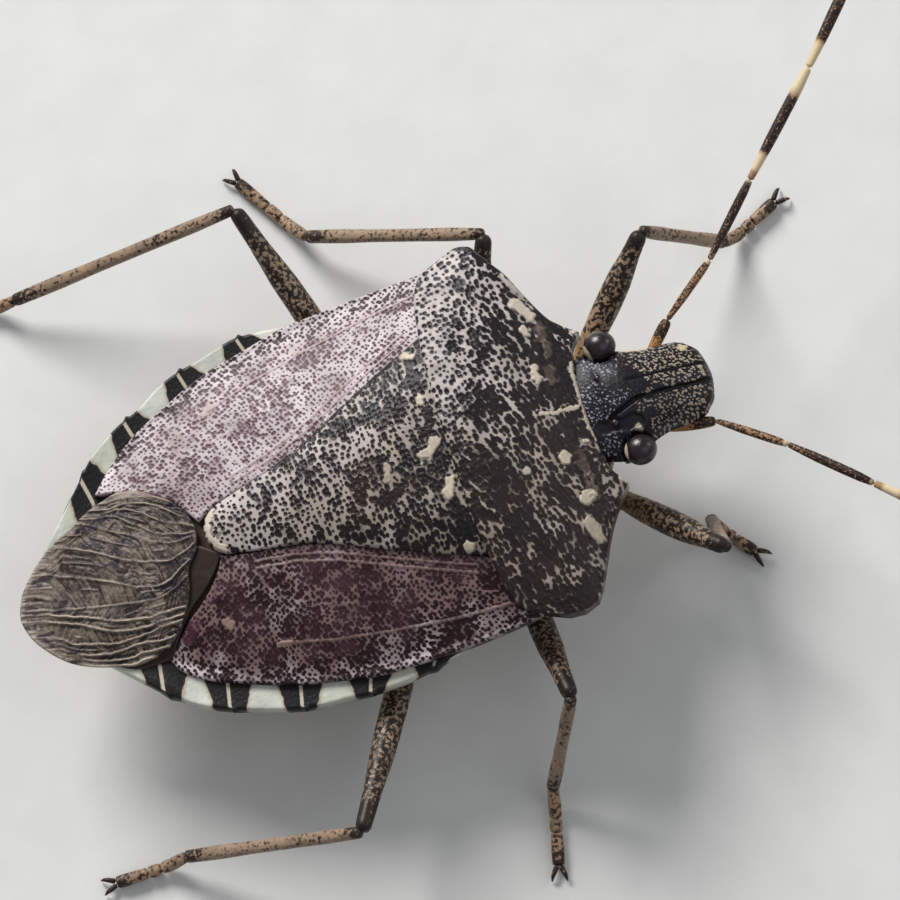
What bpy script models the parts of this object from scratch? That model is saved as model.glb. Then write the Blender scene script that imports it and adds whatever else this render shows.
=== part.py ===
"""A brown shield bug standing on a level floor, at life size.

Sizes are millimetres in the bug's own frame: +X towards the head, +Y to its left and +Z up, with the
floor at zero. The last step turns the meshes to metres and centres them over the floor.
"""

import math

import bmesh
import bpy
import numpy as np
from mathutils import Matrix, Vector

# General sizes
MM = 0.001
GAP = 0.25
WING_THICKNESS = 0.5
SHIELD_THICKNESS = 0.62
LIMB_RADIUS = 0.25

# Head: half-outline from the brow to the neck, and the heights of crown, rim and throat
BROW = ((7.48, -0.76), (7.7, -0.5), (7.79, 0.0), (7.7, 0.5), (7.48, 0.76))
CHEEK = (
    (7.48, 0.76), (7.25, 0.87), (6.95, 0.91), (6.6, 0.93), (6.2, 1.02), (5.75, 1.2), (5.45, 1.25),
    (5.28, 1.18),
)
NAPE_X = CHEEK[-1][0]
HEAD_TURN = math.radians(2.0)
HEAD_EDGE_THICKNESS = 0.3
BROW_LOBE_LINE = 0.3
BROW_GROOVE = 0.09

# Eyes: centre on the left side and half-sizes
EYE_CENTRE = Vector((5.75, 1.22, 3.68))
EYE_HALF = Vector((0.35, 0.33, 0.33))
OCELLUS = Vector((5.45, 0.52, 3.9))
OCELLUS_RADIUS = 0.1

# Pronotum: front edge, one side with its rounded shoulder, and rear edge
COLLAR = ((5.36, -1.73), (5.07, -1.3), (4.97, 0.0), (5.07, 1.3), (5.36, 1.73))
SHOULDER = (
    (5.36, 1.73), (4.87, 2.35), (4.52, 3.0), (4.2, 3.72), (4.02, 4.05), (3.62, 4.22), (3.2, 4.17),
    (3.0, 4.04),
)
HEM = (
    (3.0, -4.04), (2.45, -3.8), (2.16, -3.1), (1.99, -1.5), (1.95, 0.0), (1.99, 1.5), (2.16, 3.1),
    (2.45, 3.8), (3.0, 4.04),
)
HEM_X = HEM[4][0]

# Scutellum: base edge, left side and rounded tip
SCUTELLUM_BASE = ((1.86, -2.48), (1.75, -1.3), (1.73, 0.0), (1.75, 1.3), (1.86, 2.48))
SCUTELLUM_SIDE = (
    (1.86, 2.48), (1.08, 2.08), (0.1, 1.62), (-0.9, 1.14), (-1.65, 0.87), (-2.5, 0.69), (-3.22, 0.53),
)
SCUTELLUM_TIP = ((-3.22, -0.53), (-3.47, -0.31), (-3.55, 0.0), (-3.47, 0.31), (-3.22, 0.53))
SCUTELLUM_STEP = 0.08

# Forewings: leathery part beside the scutellum, outer edge, and where it ends in the membrane
WING_FRONT = ((1.76, 2.74), (1.88, 3.15), (2.12, 3.74), (2.28, 4.02))
WING_INNER = (
    (1.76, 2.74), (1.12, 2.39), (0.2, 1.94), (-0.8, 1.46), (-1.55, 1.17), (-2.4, 0.96), (-3.2, 0.8),
    (-3.48, 0.68),
)
WING_OUTER = (
    (2.28, 4.02), (1.0, 3.94), (-0.5, 3.75), (-1.66, 3.67), (-2.94, 3.33), (-3.98, 2.86), (-4.83, 2.33),
)
LEFT_WING_TIP = (-5.6, 1.6)
LEFT_WING_END = ((-3.48, 0.68), (-4.1, 1.07), (-4.75, 1.46), (-5.25, 1.63), LEFT_WING_TIP)
RIGHT_WING_END = ((-3.48, 0.68), (-3.85, 1.03), (-4.2, 1.6), (-4.55, 2.14), WING_OUTER[-1])
MEMBRANE_ROOT = ((-3.86, -0.4), (-3.77, 0.0), (-3.63, 0.5), (-3.98, 1.17), (-4.7, 1.6), (-5.42, 1.72))
MEMBRANE_LEFT = ((-5.42, 1.72), (-6.05, 1.5), (-6.53, 1.17))
MEMBRANE_RIGHT = ((-3.86, -0.4), (-4.35, -1.16), (-4.8, -1.87), (-5.5, -2.0), (-6.3, -1.85))
MEMBRANE_END = (
    (-6.3, -1.85), (-6.95, -1.62), (-7.45, -1.2), (-7.8, -0.62), (-7.75, 0.0), (-7.45, 0.45),
    (-6.53, 1.17),
)
VEINS = 9
VEIN_HEIGHT = 0.08

# Trunk: the thorax under the shields and the abdomen with its banded rim, which shows beside the wings
THORAX_FRONT = 4.95
THORAX_REAR = 0.72
ABDOMEN_FRONT = THORAX_REAR - GAP
ABDOMEN_TAIL = -7.1
RIM_END = -6.3
RIM_CORNERS = (-0.65, -1.98, -3.3, -4.52, -5.62)
RIM_TOOTH = 0.09
RIM_TOOTH_LENGTH = 0.12
RIM_THICKNESS = 0.45
RIM_GAP = GAP + 0.04
RIM_LEAST_WIDTH = 0.12
BODY_EDGE_THICKNESS = 0.4
TAIL_EDGE_THICKNESS = 0.3

# Legs: the root under the thorax, the knee, the ankle and the toe of each
COXA_RADIUS = 0.36
COXA_LENGTH = 0.5
COXA_DROP = 0.1
THIGH_RADIUS = 0.31
THIGH_SAG = 0.18
KNEE_RADIUS = 0.22
ANKLE_CLEARANCE = GAP + 0.12
FOOT_Z = 0.2
CLAW_LENGTH = 0.42
CLAW_SPREAD = 0.26
LEGS = {
    "fore_left": ((4.6, 1.0), (7.32, 3.56, 3.15), (9.1, 3.48, 0.62), (10.45, 4.15)),
    "fore_right": ((4.6, -0.9), (6.89, -3.69, 3.3), (6.89, -2.38, 0.62), (7.6, -3.25)),
    "mid_left": ((2.5, 1.15), (4.1, 4.66, 2.9), (0.4, 6.55, 0.62), (-0.7, 8.4)),
    "mid_right": ((2.5, -1.15), (2.8, -5.74, 3.3), (1.84, -6.94, 0.62), (1.45, -8.5)),
    "hind_left": ((0.98, 1.15), (-0.88, 6.87, 3.1), (-6.2, 7.22, 0.62), (-7.95, 7.5)),
    "hind_right": ((0.98, -1.15), (-2.26, -7.08, 3.1), (-6.12, -5.9, 0.62), (-7.75, -5.88)),
}

# Feelers: the joints of each, from the socket on the head to the tip, and the thickness along a joint
FEELERS = {
    "left": (
        (6.8, 1.38, 3.0), (7.26, 1.52, 3.15), (8.5, 2.38, 3.5), (9.84, 3.68, 3.9), (11.78, 5.55, 4.3),
        (13.5, 7.4, 4.5),
    ),
    "right": (
        (6.97, -1.28, 2.84), (7.56, -1.16, 2.95), (8.84, -1.95, 3.2), (10.27, -3.4, 3.5),
        (12.25, -5.33, 3.8), (14.0, -7.05, 4.0),
    ),
}
FEELER_SWELLING = ((0.2, 0.9), (0.6, 1.0), (0.93, 1.0), (1.0, 0.84))
FEELER_ROOT_RADIUS = 0.2
FEELER_TIP_RADII = (0.19, 0.08)
FEELER_SOCKET = Vector((6.5, 0.92, 2.95))
FEELER_SOCKET_RADIUS = 0.24

# Beak: folded back under the head between the leg roots
BEAK = ((6.75, 0.0, 1.9), (6.1, 0.0, 1.58), (5.2, 0.0, 1.32), (3.6, 0.0, 1.22), (1.5, 0.0, 1.2))
BEAK_RADII = (0.26, 0.27, 0.26, 0.25, 0.16)


def graph(*knots):
    """A smooth function through (position, value) knots that doesn't swing past them."""
    knots = sorted(knots)
    places = np.array([knot[0] for knot in knots])
    values = np.array([knot[1] for knot in knots])
    secants = np.diff(values) / np.diff(places)
    slopes = np.concatenate([secants[:1], np.zeros(len(knots) - 2), secants[-1:]])
    for i in range(1, len(knots) - 1):
        before, after = secants[i - 1], secants[i]
        if before * after > 0:
            slopes[i] = 2 * before * after / (before + after)

    def read(place):
        place = min(max(place, places[0]), places[-1])
        i = min(int(np.searchsorted(places, place, side="right")) - 1, len(places) - 2)
        step = places[i + 1] - places[i]
        t = (place - places[i]) / step
        ease = t * t * (3 - 2 * t)
        bend = step * (t * (1 - t) ** 2 * slopes[i] - t * t * (1 - t) * slopes[i + 1])
        return float(values[i] + (values[i + 1] - values[i]) * ease + bend)

    return read


def curve(points):
    """A smooth curve through the points, read from 0 at the first to 1 at the last."""
    points = [Vector(point) for point in points]
    reach = [0.0]
    for start, end in zip(points, points[1:]):
        reach.append(reach[-1] + (end - start).length)
    shares = [distance / reach[-1] for distance in reach]
    axes = [graph(*zip(shares, values)) for values in zip(*points)]
    return lambda t: Vector([axis(t) for axis in axes])


def mirrored(points):
    """The same points on the other side of the bug."""
    return tuple((x, -y) for x, y in points)


def sheet(front, rear, right, left):
    """The plan between four edges: front and rear run right to left, and the sides run front to rear."""
    front, rear, right, left = curve(front), curve(rear), curve(right), curve(left)

    def read(s, t):
        edges = front(s) * (1 - t) + rear(s) * t + right(t) * (1 - s) + left(t) * s
        corners = (front(0) * (1 - s) + front(1) * s) * (1 - t) + (rear(0) * (1 - s) + rear(1) * s) * t
        return edges - corners

    return read


def even(count):
    """count + 1 even steps from 0 to 1."""
    return [i / count for i in range(count + 1)]


def dome(share, power=2.0):
    """1 on the middle line and 0 at the edge, for a share of the half-width."""
    return 1 - min(1.0, abs(share)) ** power


# Heights of the back, from the middle line to the sides
shield_crest = graph((5.36, 3.78), (4.97, 3.86), (4.2, 4.24), (3.3, 4.6), (2.5, 4.76), (HEM_X, 4.72))
shield_edge = graph((5.36, 3.5), (4.5, 3.75), (4.0, 4.08), (3.6, 4.14), (3.0, 4.05), (HEM_X, 3.98))
shield_half = graph(*SHOULDER[:6], (HEM_X, SHOULDER[5][1]))
wing_crest = graph(
    (2.7, 4.62), (1.0, 4.36), (-1.0, 3.98), (-3.55, 3.48), (-5.0, 3.3), (-6.5, 3.04), (-7.8, 2.8),
)
wing_edge = graph((2.8, 3.82), (1.0, 3.4), (-1.5, 3.05), (-4.0, 2.93), (-6.0, 2.84), (-7.8, 2.74))
wing_half = graph((2.8, 4.0), (0.0, 3.85), *WING_OUTER[3:], (-7.8, 1.4))
scutellum_crest = graph((1.86, 4.64), (0.8, 4.55), (-0.8, 4.2), (-2.2, 3.9), (-3.2, 3.72), (-3.55, 3.62))
head_crest = graph((5.19, 3.98), (5.8, 4.0), (6.6, 3.78), (7.4, 3.42), (7.82, 3.2))
head_edge = graph((5.19, 3.55), (6.2, 3.45), (7.0, 3.25), (7.82, 3.05))
throat = graph((5.19, 2.0), (6.2, 2.2), (7.0, 2.45), (7.82, 2.75))
body_half = graph(
    (THORAX_FRONT, 1.5), (4.4, 2.3), (4.0, 3.0), (3.4, 3.4), (2.7, 3.72), (THORAX_REAR, 3.95),
    (ABDOMEN_FRONT, 4.12), (-0.5, 4.2), (-1.7, 4.1), (-2.7, 3.98), (-3.75, 3.66), (-4.75, 3.12),
    (-5.75, 2.42), (RIM_END, 1.95), (-6.6, 1.35), (ABDOMEN_TAIL, 0.8),
)
belly = graph(
    (THORAX_FRONT, 1.95), (4.2, 1.75), (1.6, 1.72), (THORAX_REAR, 1.45), (-1.2, 1.15), (-3.0, 1.22),
    (-4.8, 1.6), (RIM_END, 2.05), (ABDOMEN_TAIL, 2.2),
)
rim_top = graph((ABDOMEN_FRONT, 3.1), (-1.5, 2.9), (-4.0, 2.8), (RIM_END, 2.74))


def shield_top(x, y):
    edge = shield_edge(x)
    return edge + (shield_crest(x) - edge) * dome(y / shield_half(x), 2.2)


def wing_top(x, y):
    edge = wing_edge(x)
    return edge + (wing_crest(x) - edge) * dome(y / wing_half(x))


def under_back(x, y):
    """The top of the trunk where shields or wings lie over it."""
    if x > HEM_X:
        return shield_top(x, y) - SHIELD_THICKNESS - GAP
    return wing_top(x, y) - WING_THICKNESS - GAP


def belly_height(x, y, top_edge):
    """The underside of the trunk: low along the middle and rising to the side walls."""
    return belly(x) + (top_edge - belly(x)) * min(1.0, abs(y) / body_half(x)) ** 1.8


def breast_height(x, y):
    """The underside of the thorax, which the legs grow from."""
    return belly_height(x, y, under_back(x, body_half(x)) - BODY_EDGE_THICKNESS)


def slab(plan, top, bottom, columns, rows):
    """A closed slab over a plan. top and bottom give its heights at x, y and the shares s, t."""
    bm = bmesh.new()
    bmesh.ops.create_grid(bm, x_segments=len(columns) - 1, y_segments=len(rows) - 1, size=0.5)
    shares = {}
    for vert in bm.verts:
        s = columns[round((vert.co.x + 0.5) * (len(columns) - 1))]
        t = rows[round((vert.co.y + 0.5) * (len(rows) - 1))]
        place = plan(s, t)
        shares[(round(place.x, 5), round(place.y, 5))] = (s, t)
        vert.co = (place.x, place.y, bottom(place.x, place.y, s, t))
    grown = bmesh.ops.extrude_face_region(bm, geom=bm.faces[:])
    for vert in grown["geom"]:
        if isinstance(vert, bmesh.types.BMVert):
            s, t = shares[(round(vert.co.x, 5), round(vert.co.y, 5))]
            vert.co.z = top(vert.co.x, vert.co.y, s, t)
    return bm


def tube(points, radii, sides=8):
    """A closed tube through the points, with a radius at each."""
    points = [Vector(point) for point in points]
    bm = bmesh.new()
    bmesh.ops.create_circle(bm, cap_ends=True, segments=sides, radius=1.0)
    cap = bm.faces[:]
    heading = Vector((0, 0, 1))
    turn = Matrix.Identity(4)
    last = Matrix.Identity(4)
    for i, (point, radius) in enumerate(zip(points, radii)):
        ahead = points[min(i + 1, len(points) - 1)]
        behind = points[max(i - 1, 0)]
        new_heading = (ahead - behind).normalized()
        turn = heading.rotation_difference(new_heading).to_matrix().to_4x4() @ turn
        heading = new_heading
        if i:
            grown = bmesh.ops.extrude_face_region(bm, geom=cap)
            if i > 1:
                bmesh.ops.delete(bm, geom=cap, context="FACES_ONLY")
            cap = [item for item in grown["geom"] if isinstance(item, bmesh.types.BMFace)]
        ring = Matrix.Translation(point) @ turn @ Matrix.Scale(radius, 4)
        bmesh.ops.transform(bm, matrix=ring @ last.inverted(), verts=cap[0].verts[:])
        last = ring
    return bm


def along(points, count):
    """count + 1 places on the smooth curve through the points."""
    read = curve(points)
    return [read(t) for t in even(count)]


def ball(centre, half_sizes, segments=16, rings=10):
    """A closed ellipsoid."""
    bm = bmesh.new()
    place = Matrix.Translation(centre) @ Matrix.Diagonal((*half_sizes, 1.0))
    bmesh.ops.create_uvsphere(bm, u_segments=segments, v_segments=rings, radius=1.0, matrix=place)
    return bm


def finish(name, bm, material):
    """Puts a mesh in the scene as a node, with its faces pointing out."""
    bmesh.ops.recalc_face_normals(bm, faces=bm.faces[:])
    mesh = bpy.data.meshes.new(name)
    bm.to_mesh(mesh)
    bm.free()
    node = bpy.data.objects.new(name, mesh)
    bpy.context.collection.objects.link(node)
    mesh.materials.append(material)
    return node


def combine(node, pieces, operation):
    """Joins closed pieces to a node, or cuts them from it, and keeps the largest closed surface."""
    tools = bpy.data.collections.new(node.name + "_pieces")
    material = node.data.materials[0]
    for i, piece in enumerate(pieces):
        tool = finish(f"{node.name}_piece_{i}", piece, material)
        tools.objects.link(tool)
    modifier = node.modifiers.new("combine", "BOOLEAN")
    modifier.operation = operation
    modifier.operand_type = "COLLECTION"
    modifier.collection = tools
    modifier.solver = "EXACT"
    result = bpy.data.meshes.new_from_object(node.evaluated_get(bpy.context.evaluated_depsgraph_get()))
    node.modifiers.remove(modifier)
    node.data = result
    for tool in list(tools.objects):
        bpy.data.objects.remove(tool)
    bpy.data.collections.remove(tools)
    keep_largest(node)


def keep_largest(node):
    """Drops every loose surface of a node but the one with the most faces."""
    bm = bmesh.new()
    bm.from_mesh(node.data)
    unseen = set(bm.verts)
    surfaces = []
    while unseen:
        edge_of_search = [unseen.pop()]
        surface = set(edge_of_search)
        while edge_of_search:
            vert = edge_of_search.pop()
            for edge in vert.link_edges:
                other = edge.other_vert(vert)
                if other in unseen:
                    unseen.discard(other)
                    surface.add(other)
                    edge_of_search.append(other)
        surfaces.append(surface)
    surfaces.sort(key=len)
    for surface in surfaces[:-1]:
        bmesh.ops.delete(bm, geom=list(surface), context="VERTS")
    bm.to_mesh(node.data)
    bm.free()


def colour(name, rgb, roughness):
    """A Principled material."""
    material = bpy.data.materials.new(name)
    material.use_nodes = True
    shader = material.node_tree.nodes["Principled BSDF"]
    shader.inputs["Base Color"].default_value = (*rgb, 1.0)
    shader.inputs["Roughness"].default_value = roughness
    shader.inputs["Metallic"].default_value = 0.0
    return material


def both_sides(centre):
    """The place given for the left side, and its mirror image on the right."""
    return [centre * Vector((1, side, 1)) for side in (-1, 1)]


def head(material):
    """Flat snout with side lobes round a middle one, sockets for eyes and feelers, and two ocelli."""
    plan = sheet(BROW, mirrored(CHEEK[-1:]) + CHEEK[-1:], mirrored(CHEEK), CHEEK)
    cheek_half = graph(*CHEEK)

    def top(x, y, s, t):
        edge = head_edge(x)
        groove = math.exp(-((abs(y) - BROW_LOBE_LINE) / 0.09) ** 2)
        fade = min(1.0, max(0.0, (x - 5.9) / 0.5))
        return edge + (head_crest(x) - edge) * dome(2 * s - 1, 2.4) - BROW_GROOVE * groove * fade

    def bottom(x, y, s, t):
        edge = head_edge(x) - HEAD_EDGE_THICKNESS
        return edge + (throat(x) - edge) * dome(y / (cheek_half(x) + 0.05), 1.8)

    node = finish("head", slab(plan, top, bottom, even(20), even(14)), material)
    sockets = [ball(place, [FEELER_SOCKET_RADIUS] * 3, 12, 8) for place in both_sides(FEELER_SOCKET)]
    ocelli = [ball(place, [OCELLUS_RADIUS] * 3, 8, 6) for place in both_sides(OCELLUS)]
    combine(node, sockets + ocelli, "UNION")
    hollow = EYE_HALF + Vector((GAP, GAP, GAP))
    combine(node, [ball(place, hollow, 20, 12) for place in both_sides(EYE_CENTRE)], "DIFFERENCE")
    turn_head(node)


def turn_head(node):
    """Turns a piece of the head a little to the left about the nape."""
    nape = Matrix.Translation((NAPE_X, 0.0, 0.0))
    node.data.transform(nape @ Matrix.Rotation(HEAD_TURN, 4, "Z") @ nape.inverted())


def eyes(material):
    for name, place in zip(("right", "left"), both_sides(EYE_CENTRE)):
        turn_head(finish(f"eye_{name}", ball(place, EYE_HALF), material))


def beak(material):
    read = graph(*zip(even(len(BEAK) - 1), BEAK_RADII))
    finish("beak", tube(along(BEAK, 12), [read(t) for t in even(12)]), material)


def pronotum(material):
    def top(x, y, s, t):
        return shield_top(x, y)

    def bottom(x, y, s, t):
        return shield_top(x, y) - SHIELD_THICKNESS

    plan = sheet(COLLAR, HEM, mirrored(SHOULDER), SHOULDER)
    finish("pronotum", slab(plan, top, bottom, even(24), even(10)), material)


def wing_bottom(x, y, s, t):
    return wing_top(x, y) - WING_THICKNESS


def scutellum(material):
    plan = sheet(SCUTELLUM_BASE, SCUTELLUM_TIP, mirrored(SCUTELLUM_SIDE), SCUTELLUM_SIDE)

    def top(x, y, s, t):
        edge = wing_top(x, y) + SCUTELLUM_STEP
        return edge + max(0.0, scutellum_crest(x) - edge) * dome(2 * s - 1)

    finish("scutellum", slab(plan, top, wing_bottom, even(12), even(14)), material)


def forewing(name, front, end, inner, outer, material):
    """The leathery part of one forewing, between its four edges."""
    def top(x, y, s, t):
        return wing_top(x, y)

    plan = sheet(front, end, inner, outer)
    return finish(name, slab(plan, top, wing_bottom, even(8), even(18)), material)


def membrane():
    """The thin end of the left forewing, which lies over the other one, with veins raised along it."""
    plan = sheet(MEMBRANE_ROOT, MEMBRANE_END, MEMBRANE_RIGHT, MEMBRANE_LEFT)

    def top(x, y, s, t):
        on_vein = round(s * 2 * VEINS) % 2
        return wing_top(x, y) + VEIN_HEIGHT * on_vein * math.sin(math.pi * min(1.0, t + 0.25)) ** 0.5

    return slab(plan, top, wing_bottom, even(2 * VEINS), even(8))


def forewings(material):
    left_outer = WING_OUTER + (LEFT_WING_TIP,)
    left = forewing("forewing_left", WING_FRONT, LEFT_WING_END, WING_INNER, left_outer, material)
    combine(left, [membrane()], "UNION")
    edges = [mirrored(edge) for edge in (WING_FRONT, RIGHT_WING_END, WING_INNER, WING_OUTER)]
    forewing("forewing_right", *edges, material)


def thorax(material):
    def plan(s, t):
        x = THORAX_FRONT + (THORAX_REAR - THORAX_FRONT) * t
        return Vector((x, (2 * s - 1) * body_half(x)))

    def top(x, y, s, t):
        return under_back(x, y)

    def bottom(x, y, s, t):
        return breast_height(x, y)

    finish("thorax", slab(plan, top, bottom, even(16), even(14)), material)


def abdomen(material):
    """The hind body. Its flat rim stands up beside the wings, with a tooth at each segment's corner."""
    under_wing, wing_line = 0.75, 0.875

    def outer_half(x):
        tooth = max(math.exp(-((x - corner) / RIM_TOOTH_LENGTH) ** 2) for corner in RIM_CORNERS)
        return body_half(x) + RIM_TOOTH * tooth

    def plan(s, t):
        x = ABDOMEN_FRONT + (ABDOMEN_TAIL - ABDOMEN_FRONT) * t
        share = 2 * s - 1
        outer = outer_half(x)
        inner = min(wing_half(x) + RIM_GAP, outer - RIM_LEAST_WIDTH)
        stops = graph((0.0, 0.0), (under_wing, inner - 0.04), (wing_line, inner), (1.0, outer))
        return Vector((x, math.copysign(stops(abs(share)), share)))

    def top(x, y, s, t):
        if abs(2 * s - 1) < wing_line - 0.01 or x < RIM_END:
            return under_back(x, y)
        return rim_top(x)

    def bottom(x, y, s, t):
        edge = under_back(x, y) - TAIL_EDGE_THICKNESS if x < RIM_END else rim_top(x) - RIM_THICKNESS
        return belly_height(x, y, edge)

    around_corner = (-0.6, -0.2, 0.0, 0.2)
    places = [ABDOMEN_FRONT, ABDOMEN_FRONT - 0.6, RIM_END, RIM_END - 0.02, ABDOMEN_TAIL + 0.4, ABDOMEN_TAIL]
    places += [corner - step for corner in RIM_CORNERS for step in around_corner]
    stations = sorted((ABDOMEN_FRONT - place) / (ABDOMEN_FRONT - ABDOMEN_TAIL) for place in places)
    finish("abdomen", slab(plan, top, bottom, even(16), stations), material)


def limb(name, points, radii, material):
    """A round limb piece with narrowed ends."""
    read = graph(*zip(even(len(radii) - 1), radii))
    steps = len(radii) + 3
    return finish(name, tube(along(points, steps), [read(t) for t in even(steps)]), material)


def leg(name, root, knee, ankle, toe, material):
    """One leg: thigh with its root, shin, and foot with two claws, flat where it stands."""
    knee, ankle = Vector(knee), Vector(ankle)
    root = Vector((*root, breast_height(*root) - GAP - COXA_RADIUS))
    hip = root + (knee - root).normalized() * COXA_LENGTH
    hip.z = root.z - COXA_DROP
    bend = hip.lerp(knee, 0.12) - Vector((0.0, 0.0, THIGH_SAG))
    middle = hip.lerp(knee, 0.55) - Vector((0.0, 0.0, THIGH_SAG / 2))
    limb(
        f"femur_{name}",
        (root, hip, bend, middle, knee),
        (0.3, COXA_RADIUS, 0.27, THIGH_RADIUS, THIGH_RADIUS, KNEE_RADIUS),
        material,
    )
    along_thigh = (knee - middle).normalized()
    down = (ankle - knee).normalized()
    fold = max(0.0, -down.dot(along_thigh))
    away = (down - along_thigh * down.dot(along_thigh)).normalized()
    shin_start = knee + away * (KNEE_RADIUS * (1 + fold) + GAP)
    limb(f"tibia_{name}", (shin_start, ankle), (0.22, LIMB_RADIUS, LIMB_RADIUS, 0.26, 0.24), material)
    foot(name, ankle, down, Vector((*toe, FOOT_Z)), material)


def foot(name, ankle, down, toe, material):
    """A foot that steps down from the shin to the floor, with a pair of claws at its end."""
    ahead = Vector((toe.x - ankle.x, toe.y - ankle.y, 0.0)).normalized()
    fold = max(0.0, 0.3 - down.dot(ahead))
    start = ankle + (down + ahead).normalized() * ANKLE_CLEARANCE * (1 + fold)
    landing = start.lerp(toe, 0.3)
    landing.z = FOOT_Z + 0.04
    sole = start.lerp(toe, 0.65)
    sole.z = FOOT_Z
    radii = (0.22, LIMB_RADIUS, 0.22, LIMB_RADIUS, 0.22, 0.2)
    node = limb(f"tarsus_{name}", (start, landing, sole, toe), radii, material)
    across = ahead.cross(Vector((0, 0, 1)))
    claws = []
    for way in (-1, 1):
        claw_root = toe - ahead * 0.12 + across * (0.07 * way)
        claw_bend = toe + ahead * CLAW_LENGTH / 2 + across * (CLAW_SPREAD * 0.8 * way)
        claw_bend.z += 0.08
        claw_tip = toe + ahead * CLAW_LENGTH + across * (CLAW_SPREAD * way) - Vector((0, 0, 0.1))
        claws.append(tube((claw_root, claw_bend, claw_tip), (0.12, 0.09, 0.03), 6))
    combine(node, claws, "UNION")
    for vert in node.data.vertices:
        vert.co.z = max(vert.co.z, 0.0)


def feelers(material):
    """Two five-jointed feelers, each a little swollen at its joints and fine at its tip."""
    for name, joints in FEELERS.items():
        joints = [Vector(joint) for joint in joints]
        points, radii = [joints[0]], [FEELER_ROOT_RADIUS]
        for start, end in zip(joints, joints[1:]):
            for share, swelling in FEELER_SWELLING:
                points.append(start.lerp(end, share))
                radii.append(LIMB_RADIUS * swelling)
        radii[-2:] = FEELER_TIP_RADII
        finish(f"antenna_{name}", tube(points, radii), material)


def stand_on_floor():
    """Turns millimetres to metres and centres the whole bug over the floor."""
    spots = [vert.co for node in bpy.data.objects for vert in node.data.vertices]
    middle_x = (min(spot.x for spot in spots) + max(spot.x for spot in spots)) / 2
    middle_y = (min(spot.y for spot in spots) + max(spot.y for spot in spots)) / 2
    place = Matrix.Scale(MM, 4) @ Matrix.Translation((-middle_x, -middle_y, 0.0))
    for node in bpy.data.objects:
        node.data.transform(place)


def main():
    for item in list(bpy.data.objects):
        bpy.data.objects.remove(item)
    mottled = colour("mottled_shield", (0.17, 0.12, 0.09), 0.5)
    dark = colour("dark_head", (0.03, 0.025, 0.025), 0.45)
    eye_gloss = colour("eye", (0.03, 0.018, 0.02), 0.12)
    wing_finish = colour("wing", (0.2, 0.13, 0.12), 0.5)
    underside = colour("underside", (0.45, 0.36, 0.24), 0.55)
    banded = colour("feeler", (0.12, 0.07, 0.04), 0.5)
    leg_finish = colour("leg", (0.2, 0.15, 0.11), 0.5)
    head(dark)
    eyes(eye_gloss)
    beak(leg_finish)
    pronotum(mottled)
    scutellum(mottled)
    forewings(wing_finish)
    thorax(underside)
    abdomen(underside)
    feelers(banded)
    for name, joints in LEGS.items():
        leg(name, *joints, leg_finish)
    stand_on_floor()


main()
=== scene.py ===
"""The finely finished surface of a life-size shield bug, laid over its CAD frame.

Sizes are millimetres in the bug's own frame: +X towards the head, +Y to its left and +Z up, with the
floor at zero. Each piece is shaped there and moved to the CAD model's frame when it is finished.
"""

import logging
import math
from dataclasses import dataclass
from enum import Enum
from typing import Callable, Optional, Protocol, Sequence, Union

import bmesh
import bpy
import numpy as np
from mathutils import Matrix, Vector


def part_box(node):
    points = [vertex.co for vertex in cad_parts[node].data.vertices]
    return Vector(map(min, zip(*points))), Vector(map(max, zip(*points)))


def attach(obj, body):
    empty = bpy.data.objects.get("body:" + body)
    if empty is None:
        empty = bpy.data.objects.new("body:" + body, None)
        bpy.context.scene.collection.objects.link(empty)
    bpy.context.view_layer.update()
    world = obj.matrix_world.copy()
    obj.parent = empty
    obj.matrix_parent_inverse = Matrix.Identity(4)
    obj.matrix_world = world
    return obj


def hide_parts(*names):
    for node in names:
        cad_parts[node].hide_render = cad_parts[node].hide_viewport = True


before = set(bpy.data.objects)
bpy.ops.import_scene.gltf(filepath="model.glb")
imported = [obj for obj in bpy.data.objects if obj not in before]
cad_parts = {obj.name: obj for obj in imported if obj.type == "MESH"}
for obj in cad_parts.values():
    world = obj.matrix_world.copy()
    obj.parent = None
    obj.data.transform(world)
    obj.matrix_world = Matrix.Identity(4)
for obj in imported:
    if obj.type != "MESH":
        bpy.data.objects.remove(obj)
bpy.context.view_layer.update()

Array = np.ndarray
Pair = tuple[float, float]
Place = tuple[float, float, float]
Colour = tuple[float, float, float]

LOG = logging.getLogger("shield_bug")
MM = 0.001


class Graph:
    """A smooth function through (place, value) knots that doesn't swing past them."""

    def __init__(self, *knots: Pair) -> None:
        """Fits the slopes at the knots.

        Args:
            knots: The places and the values there, in any order.
        """
        knots = sorted(knots)
        self.places = np.array([knot[0] for knot in knots], dtype=float)
        self.values = np.array([knot[1] for knot in knots], dtype=float)
        secants = np.diff(self.values) / np.diff(self.places)
        product = secants[:-1] * secants[1:]
        total = np.where(product > 0, secants[:-1] + secants[1:], 1.0)
        inner = np.where(product > 0, 2 * product / total, 0.0)
        self.slopes = np.concatenate([secants[:1], inner, secants[-1:]])

    def __call__(self, place: Union[Array, float]) -> Array:
        """Reads the function.

        Args:
            place: Where to read it.

        Returns:
            The values there.
        """
        place = np.clip(place, self.places[0], self.places[-1])
        i = np.clip(np.searchsorted(self.places, place, side="right") - 1, 0, len(self.places) - 2)
        step = self.places[i + 1] - self.places[i]
        t = (place - self.places[i]) / step
        ease = t * t * (3 - 2 * t)
        bend = step * (t * (1 - t) ** 2 * self.slopes[i] - t * t * (1 - t) * self.slopes[i + 1])
        return self.values[i] + (self.values[i + 1] - self.values[i]) * ease + bend


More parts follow.
